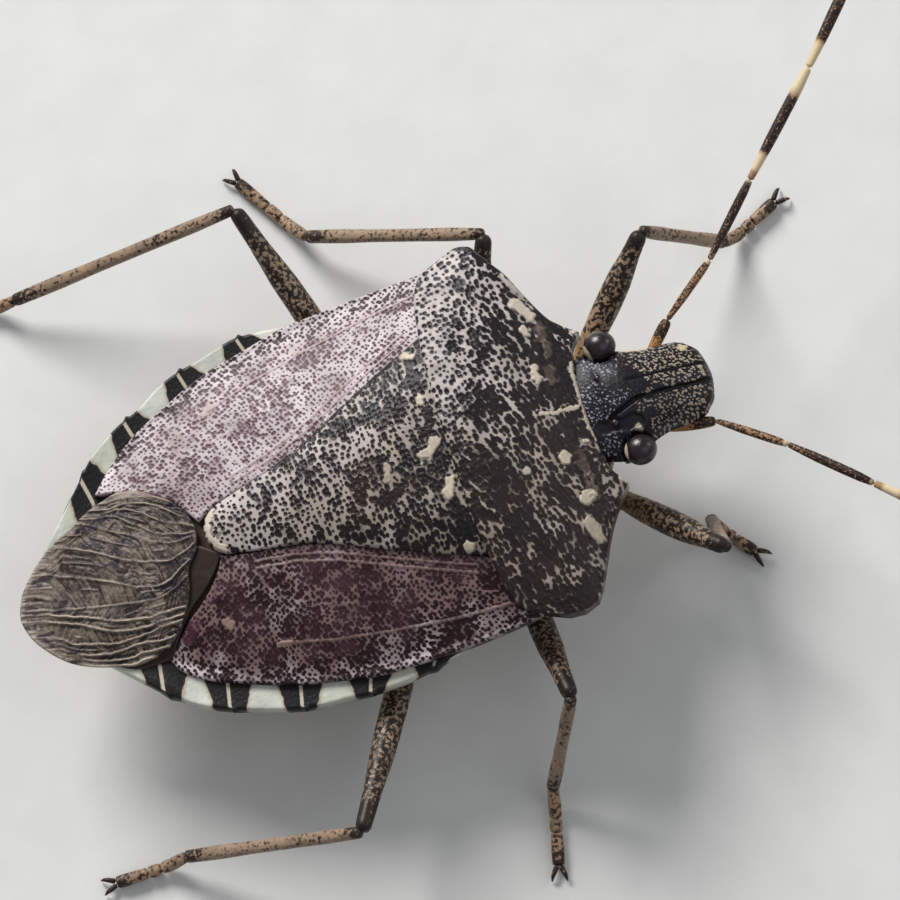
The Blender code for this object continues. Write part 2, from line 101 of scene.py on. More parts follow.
class Path:
    """A smooth curve through points, read from 0 at the first to 1 at the last."""

    def __init__(self, points: Sequence[Sequence[float]]) -> None:
        """Spaces the points by their distances.

        Args:
            points: The points, in the plan or in space.
        """
        points = np.array([tuple(point) for point in points], dtype=float)
        reach = np.concatenate([[0.0], np.cumsum(np.linalg.norm(np.diff(points, axis=0), axis=1))])
        self.length = float(reach[-1])
        self.axes = [Graph(*zip(reach / reach[-1], column)) for column in points.T]

    def __call__(self, t: Union[Array, float]) -> Array:
        """The points at the shares t of the curve."""
        return np.stack([axis(t) for axis in self.axes], axis=-1)


class Patch:
    """The plan between four edges: front and rear run right to left, and the sides front to rear."""

    def __init__(self, front: Sequence, rear: Sequence, right: Sequence, left: Sequence) -> None:
        """Keeps the four edges as smooth curves."""
        self.front, self.rear, self.right, self.left = Path(front), Path(rear), Path(right), Path(left)

    def __call__(self, s: Array, t: Array) -> Array:
        """Reads the plan.

        Args:
            s: The share of the way from the right edge to the left one.
            t: The share of the way from the front edge to the rear one.

        Returns:
            The places, a row of x and y for each.
        """
        a, b = s[..., None], t[..., None]
        edges = self.front(s) * (1 - b) + self.rear(s) * b + self.right(t) * (1 - a) + self.left(t) * a
        head = self.front(0.0) * (1 - a) + self.front(1.0) * a
        tail = self.rear(0.0) * (1 - a) + self.rear(1.0) * a
        return edges - head * (1 - b) - tail * b


def mirrored(points: Sequence[Pair]) -> tuple[Pair, ...]:
    """The same points on the other side of the bug."""
    return tuple((x, -y) for x, y in points)


def smooth(low: float, high: float, value: Array) -> Array:
    """A soft step from 0 at low to 1 at high."""
    t = np.clip((value - low) / (high - low), 0.0, 1.0)
    return t * t * (3 - 2 * t)


def bell(value: Array, width: float) -> Array:
    """A soft bump, 1 at zero and nearly gone at twice the width."""
    return np.exp(-((value / width) ** 2))


def dome(share: Array, power: float = 2.0) -> Array:
    """1 on the middle line and 0 at the edge, for a share of the half-width."""
    return 1 - np.minimum(1.0, np.abs(share)) ** power


def chance(i: Array, j: Array, seed: int) -> Array:
    """A fixed random number for each cell of a grid.

    Args:
        i: The cell's column.
        j: The cell's row.
        seed: Which set of numbers.

    Returns:
        Numbers from 0 to 1.
    """
    i, j = np.asarray(i).astype(np.int64), np.asarray(j).astype(np.int64)
    mixed = (i * 374761393 + j * 668265263 + seed * 1274126177) & 0xFFFFFFFF
    mixed = ((mixed ^ (mixed >> 13)) * 1274126177) & 0xFFFFFFFF
    mixed = mixed ^ (mixed >> 16)
    mixed = (mixed * 2246822519) & 0xFFFFFFFF
    return (mixed ^ (mixed >> 15)) / 2.0 ** 32


def noise(x: Array, y: Array, size: float, seed: int, octaves: int = 2) -> Array:
    """Smooth noise over the plan.

    Args:
        x: Places along the first direction.
        y: Places along the second.
        size: How wide its largest features are.
        seed: Which pattern.
        octaves: How many finer layers are added.

    Returns:
        Values mostly from -1 to 1.
    """
    total = np.zeros(np.shape(x))
    for octave in range(octaves):
        u, v = x / size + 17.3 * octave, y / size - 9.1 * octave
        i, j = np.floor(u), np.floor(v)
        a, b = u - i, v - j
        a, b = a * a * a * (a * (a * 6 - 15) + 10), b * b * b * (b * (b * 6 - 15) + 10)
        low = chance(i, j, seed + octave) * (1 - a) + chance(i + 1, j, seed + octave) * a
        high = chance(i, j + 1, seed + octave) * (1 - a) + chance(i + 1, j + 1, seed + octave) * a
        total += (2 * (low * (1 - b) + high * b) - 1) * 0.6 ** octave
        size /= 2
    return total


def to_line(x: Array, y: Array, points: Sequence[Pair]) -> Array:
    """The distance to a line of points.

    Args:
        x: Places in the plan.
        y: Places in the plan.
        points: One point or more, joined by straight stretches.

    Returns:
        The distance from each place to the nearest stretch.
    """
    if len(points) == 1:
        return np.hypot(x - points[0][0], y - points[0][1])
    nearest = np.full(np.shape(x), np.inf)
    for (ax, ay), (bx, by) in zip(points, points[1:]):
        dx, dy = bx - ax, by - ay
        t = np.clip(((x - ax) * dx + (y - ay) * dy) / (dx * dx + dy * dy), 0.0, 1.0)
        nearest = np.minimum(nearest, np.hypot(x - ax - t * dx, y - ay - t * dy))
    return nearest


@dataclass(frozen=True)
class Grain:
    """The pits of the shell: where they lie and how large they are."""

    spacing: float = 0.116
    radius: float = 0.042
    stretch: float = 1.14
    lean: Pair = (0.269, -0.963)
    jitter: float = 0.62
    seed: int = 1

    def read(self, x: Array, y: Array, bulk: Array, drawn: Union[Array, float] = 1.0) -> tuple[Array, Array]:
        """Reads how near each place is to the pits.

        Args:
            x: Places in the plan.
            y: Places in the plan.
            bulk: How large the pits are there, as a share of the usual size.
            drawn: How much longer than wide they are there.

        Returns:
            The dark discs of the pits, and their hollows.
        """
        u = (x * self.lean[0] + y * self.lean[1]) / (self.spacing * self.stretch)
        v = (x * self.lean[1] - y * self.lean[0]) / self.spacing
        u = u + 0.55 * noise(x, y, 0.75, self.seed + 23, 1)
        v = v + 0.55 * noise(x, y, 0.75, self.seed + 29, 1)
        i, j = np.floor(u), np.floor(v)
        halo = np.zeros(np.shape(x))
        hollow = np.zeros(np.shape(x))
        for di in (-1, 0, 1):
            for dj in (-1, 0, 1):
                ci, cj = i + di, j + dj
                cu = ci + 0.5 + self.jitter * (chance(ci, cj, self.seed) - 0.5)
                cv = cj + 0.5 + self.jitter * (chance(ci, cj, self.seed + 7) - 0.5)
                size = self.radius * bulk * (0.65 + 0.7 * chance(ci, cj, self.seed + 13))
                along = (u - cu) * self.spacing * self.stretch / drawn
                far = np.hypot(along, (v - cv) * self.spacing) / np.maximum(size, 1e-6)
                halo = np.maximum(halo, 1 - smooth(0.45, 1.55, far))
                hollow = np.maximum(hollow, 1 - smooth(0.1, 1.05, far))
        return halo, hollow


class Layer(Enum):
    """What a mark on the shell does."""

    PALE = "pale"
    DARK = "dark"
    SMOOTH = "smooth"
    RIDGE = "ridge"
    GROOVE = "groove"


@dataclass(frozen=True)
class Mark:
    """A spot or stroke on the shell, with its half-width and its strength."""

    layer: Layer
    points: tuple[Pair, ...]
    width: float
    strength: float = 1.0


def paint(marks: Sequence[Mark], layer: Layer, x: Array, y: Array, ragged: float = 0.3) -> Array:
    """Reads all marks of one kind.

    Args:
        marks: The marks of a piece.
        layer: Which kind is read.
        x: Places in the plan.
        y: Places in the plan.
        ragged: How uneven the marks' outlines are, as a share of their width.

    Returns:
        The strength of the strongest mark at each place.
    """
    total = np.zeros(np.shape(x))
    for number, mark in enumerate(mark for mark in marks if mark.layer is layer):
        distance = to_line(x, y, mark.points)
        distance = distance + ragged * mark.width * noise(x, y, 1.2 * mark.width + 0.02, 31 + number)
        inside = 1 - smooth(0.7 * mark.width, 1.25 * mark.width, distance)
        total = np.maximum(total, mark.strength * inside)
    return total


class Value:
    """A shader socket that takes part in plain arithmetic."""

    def __init__(self, finish: "Finish", socket: bpy.types.NodeSocket) -> None:
        """Wraps one output socket of a material."""
        self.finish, self.socket = finish, socket

    def maths(self, operation: str, *values: Union["Value", float]) -> "Value":
        """Adds a Math node.

        Args:
            operation: The node's operation.
            values: Its inputs, in order.

        Returns:
            Its result.
        """
        made = self.finish.node("ShaderNodeMath", {"operation": operation}, dict(enumerate(values)))
        return Value(self.finish, made.outputs[0])

    def __add__(self, other: Union["Value", float]) -> "Value":
        """Sum."""
        return self.maths("ADD", self, other)

    def __sub__(self, other: Union["Value", float]) -> "Value":
        """Difference."""
        return self.maths("SUBTRACT", self, other)

    def __rsub__(self, other: float) -> "Value":
        """Difference from a number."""
        return self.maths("SUBTRACT", other, self)

    def __mul__(self, other: Union["Value", float]) -> "Value":
        """Product."""
        return self.maths("MULTIPLY", self, other)

    __radd__ = __add__
    __rmul__ = __mul__

    def step(self, low: float, high: float) -> "Value":
        """A soft step from 0 at low to 1 at high.

        Args:
            low: Where it starts.
            high: Where it ends.

        Returns:
            The step.
        """
        sockets = {"Value": self, "From Min": low, "From Max": high}
        made = self.finish.node("ShaderNodeMapRange", {"interpolation_type": "SMOOTHSTEP"}, sockets)
        return Value(self.finish, made.outputs[0])


class Finish:
    """A node material under construction."""

    def __init__(self, name: str) -> None:
        """Starts the material with its shader.

        Args:
            name: The material's name.
        """
        self.material = bpy.data.materials.new(name)
        self.material.use_nodes = True
        self.tree = self.material.node_tree
        self.shader = self.tree.nodes["Principled BSDF"]
        place = self.node("ShaderNodeTexCoord", {}, {})
        self.place = Value(self, place.outputs["Object"])

    def node(self, kind: str, settings: dict, sockets: dict) -> bpy.types.Node:
        """Adds a node.

        Args:
            kind: The node's type.
            settings: Its properties, which are set first.
            sockets: Values or links for its inputs, by name or number.

        Returns:
            The node.
        """
        made = self.tree.nodes.new(kind)
        for name, value in settings.items():
            setattr(made, name, value)
        for name, value in sockets.items():
            self.feed(made.inputs[name], value)
        return made

    def feed(self, socket: bpy.types.NodeSocket, value: Union[Value, float, Sequence[float]]) -> None:
        """Links a value to a socket or sets it there.

        Args:
            socket: The input socket.
            value: A wrapped output, a number or a colour.
        """
        if isinstance(value, Value):
            self.tree.links.new(value.socket, socket)
        elif isinstance(value, tuple) and len(value) == 3 and len(socket.default_value) == 4:
            socket.default_value = (*value, 1.0)
        else:
            socket.default_value = value

    def mask(self, name: str) -> Value:
        """A number that the mesh carries at each point."""
        made = self.node("ShaderNodeAttribute", {"attribute_name": name}, {})
        return Value(self, made.outputs["Fac"])

    def grain(self, size: float, detail: float = 2.0, rough: float = 0.5, warp: float = 0.0) -> Value:
        """Noise in the piece's own place.

        Args:
            size: The width of its features in millimetres.
            detail: How many finer layers it has.
            rough: How strong the finer layers are.
            warp: How far it is distorted.

        Returns:
            The noise, about 0.5.
        """
        sockets = {"Vector": self.place, "Scale": 1.0 / (size * MM), "Detail": detail,
                   "Roughness": rough, "Distortion": warp}
        made = self.node("ShaderNodeTexNoise", {}, sockets)
        return Value(self, made.outputs[0])

    def cells(self, size: float, feature: str = "F1", loose: float = 1.0) -> Value:
        """Cells in the piece's own place.

        Args:
            size: The width of a cell in millimetres.
            feature: Which distance is read.
            loose: How irregular the cells are.

        Returns:
            The distance, as a share of a cell.
        """
        sockets = {"Vector": self.place, "Scale": 1.0 / (size * MM), "Randomness": loose}
        made = self.node("ShaderNodeTexVoronoi", {"feature": feature}, sockets)
        return Value(self, made.outputs["Distance"])

    def blend(self, share: Union[Value, float], first: object, second: object, how: str = "MIX") -> Value:
        """Mixes two colours.

        Args:
            share: How much of the second one shows.
            first: A colour or a wrapped one.
            second: A colour or a wrapped one.
            how: The mixing rule.

        Returns:
            The mixed colour.
        """
        settings = {"data_type": "RGBA", "blend_type": how}
        made = self.node("ShaderNodeMix", settings, {0: share, 6: first, 7: second})
        return Value(self, made.outputs[2])

    def bump(self, height: Value, depth: float, under: Optional[Value] = None) -> Value:
        """Raises the surface's finest detail.

        Args:
            height: What is raised, from 0 to 1.
            depth: How far it stands out in millimetres.
            under: A normal that it adds to.

        Returns:
            The normal.
        """
        sockets = {"Height": height, "Distance": depth * MM, "Strength": 1.0}
        if under is not None:
            sockets["Normal"] = under
        return Value(self, self.node("ShaderNodeBump", {}, sockets).outputs[0])

    def close(self, colour: Value, rough: Value, normal: Value, **fixed: float) -> bpy.types.Material:
        """Joins the results to the shader.

        Args:
            colour: The base colour.
            rough: The roughness.
            normal: The normal.
            fixed: Numbers for other sockets, by their names with underscores for spaces.

        Returns:
            The material.
        """
        self.feed(self.shader.inputs["Base Color"], colour)
        self.feed(self.shader.inputs["Roughness"], rough)
        self.feed(self.shader.inputs["Normal"], normal)
        for name, value in fixed.items():
            self.feed(self.shader.inputs[name.replace("_", " ")], value)
        return self.material


@dataclass(frozen=True)
class Cuticle:
    """Insect shell: a pale ground that changes tone, dark ink in and round the pits, and marks.

    The mesh carries the ink, the ink's warmth (gloom), the ground's tone, the pale marks and the smooth
    coloured patches at its points, each from 0 to 1.
    """

    name: str
    ground: Colour
    second_ground: Colour
    ink: Colour
    second_ink: Colour
    pale: Colour
    patch: Colour
    speck_size: float = 0.05
    speck_strength: float = 0.35
    softness: float = 0.13
    roughness: float = 0.42
    ink_roughness: float = 0.4
    gloss: float = 0.22
    bump_size: float = 0.04
    bump_depth: float = 0.006
    coat: float = 0.0

    def material(self) -> bpy.types.Material:
        """Builds the material.

        Returns:
            The material.
        """
        finish = Finish(self.name)
        specks = finish.grain(self.speck_size, 2.5, 0.55) - 0.5
        amount = finish.mask("ink") + specks * (2.0 * self.speck_strength)
        dark = amount.step(0.5 - self.softness, 0.5 + self.softness)
        tone = (finish.mask("tone") + (finish.grain(0.35, 3.0) - 0.5) * 0.9).step(0.0, 1.0)
        cloud = finish.grain(0.7, 4.0, 0.6)
        ground = finish.blend(tone, self.ground, self.second_ground)
        ground = finish.blend(cloud.step(0.25, 0.75) * 0.35, ground, (0.0, 0.0, 0.0))
        ink = finish.blend(finish.mask("gloom") + (cloud - 0.5) * 0.8, self.ink, self.second_ink)
        colour = finish.blend(dark, ground, ink)
        colour = finish.blend(finish.mask("patch"), colour, self.patch)
        colour = finish.blend(finish.mask("pale"), colour, self.pale)
        fine = finish.grain(self.bump_size, 3.0, 0.6)
        rough = self.roughness + (self.ink_roughness - self.roughness) * dark + (fine - 0.5) * 0.25
        normal = finish.bump(fine, self.bump_depth)
        return finish.close(colour, rough, normal, Coat_Weight=self.coat, Coat_Roughness=0.2,
                            Specular_IOR_Level=self.gloss)


SHELL = Cuticle("mottled_cuticle", (0.31, 0.265, 0.215), (0.5, 0.445, 0.43), (0.007, 0.0055, 0.007),
                (0.026, 0.014, 0.011), (0.55, 0.47, 0.36), (0.06, 0.042, 0.03), softness=0.34,
                speck_strength=0.3, speck_size=0.03)
# The right forewing takes mostly the dark first ground and ink, and the left one the pale second ones, so the
# pair is partly a shaded and a lit copy of one wing colour: painted shade and painted light.
WING = Cuticle("wing_cuticle", (0.18, 0.115, 0.11), (0.56, 0.49, 0.51), (0.016, 0.0045, 0.006),
               (0.075, 0.034, 0.045), (0.32, 0.2, 0.15), (0.1, 0.03, 0.06), softness=0.34,
               speck_strength=0.3, speck_size=0.03)
HEAD = Cuticle("head_cuticle", (0.3, 0.25, 0.19), (0.27, 0.27, 0.33), (0.006, 0.005, 0.0065),
               (0.009, 0.007, 0.011), (0.5, 0.42, 0.25), (0.03, 0.02, 0.015), speck_strength=0.3,
               speck_size=0.035)
RIM = Cuticle("rim_cuticle", (0.5, 0.52, 0.44), (0.56, 0.57, 0.52), (0.005, 0.0045, 0.0055),
              (0.008, 0.007, 0.008), (0.42, 0.34, 0.26), (0.26, 0.14, 0.07), speck_strength=0.12,
              softness=0.2)
MEMBRANE = Cuticle("wing_membrane", (0.14, 0.11, 0.085), (0.2, 0.162, 0.133), (0.008, 0.0055, 0.0055),
                   (0.026, 0.016, 0.012), (0.5, 0.42, 0.35), (0.012, 0.006, 0.018), speck_strength=0.25,
                   speck_size=0.07, softness=0.4, roughness=0.42, ink_roughness=0.45, bump_depth=0.003)
BELLY = Cuticle("underside_cuticle", (0.42, 0.33, 0.2), (0.46, 0.36, 0.26), (0.03, 0.018, 0.012),
                (0.08, 0.04, 0.02), (0.5, 0.42, 0.3), (0.1, 0.06, 0.03), speck_strength=0.5,
                speck_size=0.07)
LEG = Cuticle("leg_cuticle", (0.36, 0.21, 0.1), (0.28, 0.2, 0.14), (0.009, 0.007, 0.006),
              (0.03, 0.016, 0.011), (0.46, 0.36, 0.26), (0.1, 0.05, 0.03), speck_size=0.09,
              speck_strength=1.2, softness=0.16, roughness=0.42)
FEELER = Cuticle("feeler_cuticle", (0.4, 0.19, 0.07), (0.34, 0.2, 0.11), (0.009, 0.006, 0.006),
                 (0.03, 0.014, 0.01), (0.58, 0.47, 0.3), (0.2, 0.08, 0.03), speck_size=0.05,
                 speck_strength=1.0, roughness=0.45, ink_roughness=0.4)


@dataclass(frozen=True)
class EyeGlass:
    """Glossy dark eye with fine facets and a dull pale rear rim."""

    name: str = "eye_glass"

    def material(self) -> bpy.types.Material:
        """Builds the material.

        Returns:
            The material.
        """
        finish = Finish(self.name)
        facets = finish.cells(0.028, "F1", 0.25)
        hue = finish.grain(0.25, 2.0)
        colour = finish.blend(hue.step(0.3, 0.7), (0.008, 0.005, 0.007), (0.018, 0.009, 0.012))
        rim = (finish.mask("pale") + (finish.grain(0.06, 2.0) - 0.5) * 0.4).step(0.3, 0.7)
        colour = finish.blend(rim, colour, (0.42, 0.35, 0.26))
        normal = finish.bump(facets.step(0.1, 0.75), -0.0025)
        return finish.close(colour, 0.24 + rim * 0.4, normal, Coat_Weight=0.25, Coat_Roughness=0.08,
                            Specular_IOR_Level=0.35)


@dataclass(frozen=True)
class Backdrop:
    """Plain pale matt floor."""

    name: str = "pale_floor"

    def material(self) -> bpy.types.Material:
        """Builds the material.

        Returns:
            The material.
        """
        finish = Finish(self.name)
        fibre = finish.grain(1.5, 4.0, 0.6)
        colour = finish.blend(fibre.step(0.2, 0.8), (0.56, 0.56, 0.545), (0.6, 0.6, 0.585))
        return finish.close(colour, 0.8 + fibre * 0.1, finish.bump(fibre, 0.01))


class Shelf:
    """Keeps the materials, so that each finish is built once."""

    made: dict[str, bpy.types.Material] = {}

    @classmethod
    def take(cls, finish: Union[Cuticle, EyeGlass, Backdrop]) -> bpy.types.Material:
        """The material of a finish.

        Args:
            finish: The finish, which is built when it is first asked for.

        Returns:
            The material.
        """
        if finish.name not in cls.made:
            cls.made[finish.name] = finish.material()
        return cls.made[finish.name]


def frame_shift() -> Array:
    """Finds where the CAD frame's origin lies on the bug, from the pronotum's box.

    Returns:
        The place in millimetres.
    """
    low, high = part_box("pronotum")
    return np.array([COLLAR[0][0] - high.x / MM, -(low.y + high.y) / 2 / MM, 0.0])


class Piece:
    """One piece of the model: a mesh from operators, laid out in millimetres, with its masks."""

    def __init__(self, name: str, bm: bmesh.types.BMesh) -> None:
        """Turns a bmesh into a mesh and reads its points.

        Args:
            name: The piece's name.
            bm: The bmesh, which is freed.
        """
        self.name = name
        self.mesh = bpy.data.meshes.new(name)
        bm.to_mesh(self.mesh)
        bm.free()
        flat = np.empty(len(self.mesh.vertices) * 3, dtype=np.float32)
        self.mesh.vertices.foreach_get("co", flat)
        self.points = flat.reshape(-1, 3).astype(float)

    def lay(self, places: Array, flip: bool = False) -> None:
        """Moves the points to their places on the bug.

        Args:
            places: A row of x, y, z in millimetres for each point.
            flip: Whether the layout turns the faces inside out, so that they are turned back.
        """
        self.places = places
        moved = (places - SHIFT) * MM
        self.mesh.vertices.foreach_set("co", moved.astype(np.float32).ravel())
        if flip:
            self.mesh.flip_normals()
        self.mesh.polygons.foreach_set("use_smooth", [True] * len(self.mesh.polygons))
        self.mesh.update()

    def mask(self, **masks: Union[Array, float]) -> None:
        """Stores a number at each point under each name.

        Args:
            masks: The numbers, one for all points or one for each.
        """
        for name, values in masks.items():
            layer = self.mesh.attributes.new(name, "FLOAT", "POINT")
            spread = np.broadcast_to(np.asarray(values, dtype=np.float32), (len(self.points),))
            layer.data.foreach_set("value", np.ascontiguousarray(spread))

    def finish(self, material: bpy.types.Material, slot: str, *nodes: str) -> bpy.types.Object:
        """Puts the piece in the scene on the CAD frame.

        Args:
            material: Its material.
            slot: A material slot's name; not used.
            nodes: The CAD nodes that it stands for.

        Returns:
            The object.
        """
        piece = bpy.data.objects.new(self.name, self.mesh)
        bpy.context.scene.collection.objects.link(piece)
        self.mesh.materials.append(material)
        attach(piece, "root")
        if nodes:
            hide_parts(*nodes)
        LOG.info("%s: %d faces", self.name, len(self.mesh.polygons))
        return piece


def plate_bm(columns: int, rows: int, cuts: int, whole: bool = False) -> bmesh.types.BMesh:
    """A closed slab over the unit square whose top is cut finely.

    Args:
        columns: Coarse faces across.
        rows: Coarse faces along.
        cuts: How often each edge of the top is cut.
        whole: Whether the underside and the sides are cut as finely as the top.

    Returns:
        The bmesh, from 0 to 1 in height.
    """
    bm = bmesh.new()
    bmesh.ops.create_grid(bm, x_segments=columns, y_segments=rows, size=0.5)
    grown = bmesh.ops.extrude_face_region(bm, geom=bm.faces[:])
    raised = [item for item in grown["geom"] if isinstance(item, bmesh.types.BMVert)]
    bmesh.ops.translate(bm, vec=(0.0, 0.0, 1.0), verts=raised)
    bmesh.ops.recalc_face_normals(bm, faces=bm.faces[:])
    edges = [edge for edge in bm.edges if whole or all(vert.co.z > 0.5 for vert in edge.verts)]
    bmesh.ops.subdivide_edges(bm, edges=edges, cuts=cuts, use_grid_fill=True)
    return bm


def tube_bm(sides: int, rings: int) -> bmesh.types.BMesh:
    """A closed tube along +Z from 0 to 1 with a radius of 1.

    Args:
        sides: Faces round it.
        rings: Faces along it.

    Returns:
        The bmesh.
    """
    bm = bmesh.new()
    lift = Matrix.Translation((0.0, 0.0, 0.5))
    bmesh.ops.create_cone(bm, cap_ends=True, cap_tris=True, segments=sides, radius1=1.0, radius2=1.0,
                          depth=1.0, matrix=lift)
    long_edges = [edge for edge in bm.edges if abs(edge.verts[0].co.z - edge.verts[1].co.z) > 0.5]
    bmesh.ops.subdivide_edges(bm, edges=long_edges, cuts=rings - 1, use_grid_fill=True)
    bmesh.ops.recalc_face_normals(bm, faces=bm.faces[:])
    return bm


# Outlines of the shields, shared by the pieces below
COLLAR = ((5.36, -1.73), (5.07, -1.3), (4.97, 0.0), (5.07, 1.3), (5.36, 1.73))
SHOULDER = (
    (5.36, 1.73), (4.87, 2.35), (4.52, 3.0), (4.2, 3.72), (4.02, 4.05), (3.62, 4.22), (3.2, 4.17),
    (3.0, 4.04),
)
HEM = (
    (3.0, -4.04), (2.45, -3.8), (2.16, -3.1), (1.99, -1.5), (1.95, 0.0), (1.99, 1.5), (2.16, 3.1),
    (2.45, 3.8), (3.0, 4.04),
)
LEFT_SHOULDER = (
    (5.36, 1.76), (4.88, 2.12), (4.65, 2.48), (4.4, 3.0), (4.23, 3.34), (3.99, 3.66), (3.83, 3.92),
    (3.66, 4.14), (3.4, 4.2), (3.15, 4.12), (3.0, 4.04),
)
SCUTELLUM_BASE = ((2.1, -2.5), (2.1, -1.3), (2.1, 0.0), (2.1, 1.3), (2.1, 2.5))
SCUTELLUM_SIDE = (
    (2.1, 2.5), (1.08, 2.1), (0.1, 1.66), (-0.9, 1.18), (-1.65, 0.9), (-2.5, 0.71), (-3.22, 0.53),
)
SCUTELLUM_TIP = ((-3.22, -0.53), (-3.47, -0.31), (-3.55, 0.0), (-3.47, 0.31), (-3.22, 0.53))
WING_FRONT = ((2.1, 2.5), (2.3, 3.1), (2.65, 3.65), (3.0, 3.93))
WING_INNER = (
    (2.1, 2.5), (1.12, 2.08), (0.2, 1.64), (-0.8, 1.18), (-1.55, 0.92), (-2.4, 0.73), (-3.2, 0.55),
    (-3.6, 0.35),
)
LEFT_WING_OUTER = (
    (3.0, 3.93), (2.5, 3.99), (1.0, 4.02), (-0.47, 4.0), (-1.6, 3.8), (-2.63, 3.57), (-3.65, 3.14),
    (-4.4, 2.78), (-5.22, 2.16), (-5.6, 1.75),
)
LEFT_WING_END = ((-3.6, 0.35), (-4.1, 1.05), (-4.75, 1.46), (-5.25, 1.66), (-5.6, 1.75))
RIGHT_WING_OUTER = (
    (3.0, 3.93), (2.5, 4.0), (1.0, 4.05), (-0.71, 3.99), (-1.77, 3.79), (-2.59, 3.6), (-3.49, 3.28),
    (-4.51, 2.82), (-4.95, 2.45), (-5.05, 2.23),
)
RIGHT_WING_INNER = (*WING_INNER[:-2], (-3.1, 0.58), (-3.35, 0.5))
RIGHT_WING_END = ((-3.35, 0.5), (-3.5, 0.78), (-3.85, 1.17), (-4.52, 1.68), (-5.05, 2.23))

# Heights of the back, from the middle line to the sides
shield_crest = Graph((5.36, 3.78), (4.97, 3.86), (4.2, 4.24), (3.3, 4.6), (2.5, 4.76), (1.95, 4.72))
shield_edge = Graph((5.36, 3.5), (4.5, 3.75), (4.0, 4.08), (3.6, 4.14), (3.0, 4.05), (1.95, 3.98))
shield_half = Graph(*SHOULDER[:6], (1.95, 4.22))
wing_crest = Graph((2.7, 4.62), (1.0, 4.36), (-1.0, 3.98), (-3.55, 3.48), (-5.0, 3.3), (-6.5, 3.04),
                   (-7.8, 2.8))
wing_edge = Graph((2.8, 3.82), (1.0, 3.4), (-1.5, 3.05), (-4.0, 2.93), (-6.0, 2.84), (-7.8, 2.74))
wing_half = Graph((2.8, 4.0), (0.0, 3.85), (-1.66, 3.67), (-2.94, 3.33), (-3.98, 2.86), (-4.83, 2.33),
                  (-7.8, 1.4))
scutellum_crest = Graph((1.86, 4.64), (0.8, 4.55), (-0.8, 4.2), (-2.2, 3.9), (-3.2, 3.72), (-3.55, 3.62))
head_crest = Graph((5.19, 3.98), (5.8, 4.0), (6.6, 3.78), (7.4, 3.42), (7.82, 3.2))
head_edge = Graph((5.19, 3.55), (6.2, 3.45), (7.0, 3.25), (7.82, 3.05))
throat = Graph((5.19, 2.0), (6.2, 2.2), (7.0, 2.45), (7.82, 2.75))
body_half = Graph(
    (5.4, 1.2), (4.95, 1.6), (4.4, 2.4), (4.0, 3.1), (3.4, 3.55), (2.7, 3.75), (0.72, 3.85),
    (0.47, 3.95), (-0.5, 4.05), (-1.7, 4.0), (-2.7, 3.85), (-3.75, 3.55), (-4.75, 3.02),
    (-5.75, 2.32), (-6.3, 1.85), (-6.6, 1.45), (-7.1, 0.9),
)
belly = Graph(
    (5.4, 2.2), (4.95, 1.95), (4.2, 1.75), (1.6, 1.72), (0.72, 1.45), (-1.2, 1.15), (-3.0, 1.22),
    (-4.8, 1.6), (-6.3, 2.05), (-7.1, 2.35),
)
rim_top = Graph((0.47, 3.1), (-1.5, 2.9), (-4.0, 2.8), (-6.3, 2.74))

SHIFT = frame_shift()


def shield_top(x: Array, y: Array) -> Array:
    """The height of the pronotum."""
    edge = shield_edge(x)
    return edge + (shield_crest(x) - edge) * dome(y / shield_half(x), 2.2)


def wing_top(x: Array, y: Array) -> Array:
    """The height of the folded wings."""
    edge = wing_edge(x)
    return edge + (wing_crest(x) - edge) * dome(y / wing_half(x))


def belly_height(x: Array, y: Array, edge: Array) -> Array:
    """The underside of the trunk, which rises from the middle to the given edge."""
    return belly(x) + (edge - belly(x)) * np.minimum(1.0, np.abs(y) / body_half(x)) ** 1.8


def breast_height(x: float, y: float) -> float:
    """The underside of the thorax where a leg grows.

    Args:
        x: The place along the bug.
        y: The place across it.

    Returns:
        The height there.
    """
    half = float(body_half(x))
    back = shield_top(x, half) - 0.62 if x > 1.95 else wing_top(x, half) - 0.5
    return float(belly_height(x, y, back - 0.65))


@dataclass
class Plate:
    """A thin shell plate with a finely worked top and a rounded rim."""

    plan: Callable[[Array, Array], Array]
    top: Callable[[Array, Array], Array]
    columns: int
    rows: int
    cuts: int
    thickness: float = 0.4
    rim: float = 0.07
    flip: bool = False

    def build(self, name: str, relief: Callable[..., tuple[Array, dict]]) -> Piece:
        """Lays the plate on the bug.

        Args:
            name: The piece's name.
            relief: Gives the extra height and the masks for x, y, the shares s and t, and the distance
                from the rim.

        Returns:
            The piece, with its masks.
        """
        piece = Piece(name, plate_bm(self.columns, self.rows, self.cuts))
        s, t, layer = piece.points[:, 0] + 0.5, piece.points[:, 1] + 0.5, piece.points[:, 2]
        if self.flip:
            s = 1 - s
        place = self.plan(s, t)
        inset = np.full(len(s), np.inf)
        for edge_s, edge_t in ((0 * s, t), (0 * s + 1, t), (s, 0 * t), (s, 0 * t + 1)):
            inset = np.minimum(inset, np.linalg.norm(place - self.plan(edge_s, edge_t), axis=1))
        x, y = place[:, 0], place[:, 1]
        short = np.clip(self.rim - inset, 0.0, self.rim)
        drop = self.rim - np.sqrt(self.rim ** 2 - short ** 2)
        extra, masks = relief(x, y, s, t, inset)
        height = self.top(x, y)
        above = height - drop + extra * smooth(0.0, self.rim, inset)
        z = np.where(layer > 0.5, above, height - self.thickness)
        piece.lay(np.column_stack([x, y, z]))
        piece.mask(**masks)
        return piece


P, D, S, R, G = Layer.PALE, Layer.DARK, Layer.SMOOTH, Layer.RIDGE, Layer.GROOVE


class Part(Protocol):
    """A sub-assembly of the bug."""

    def build(self) -> None:
        """Makes its pieces."""


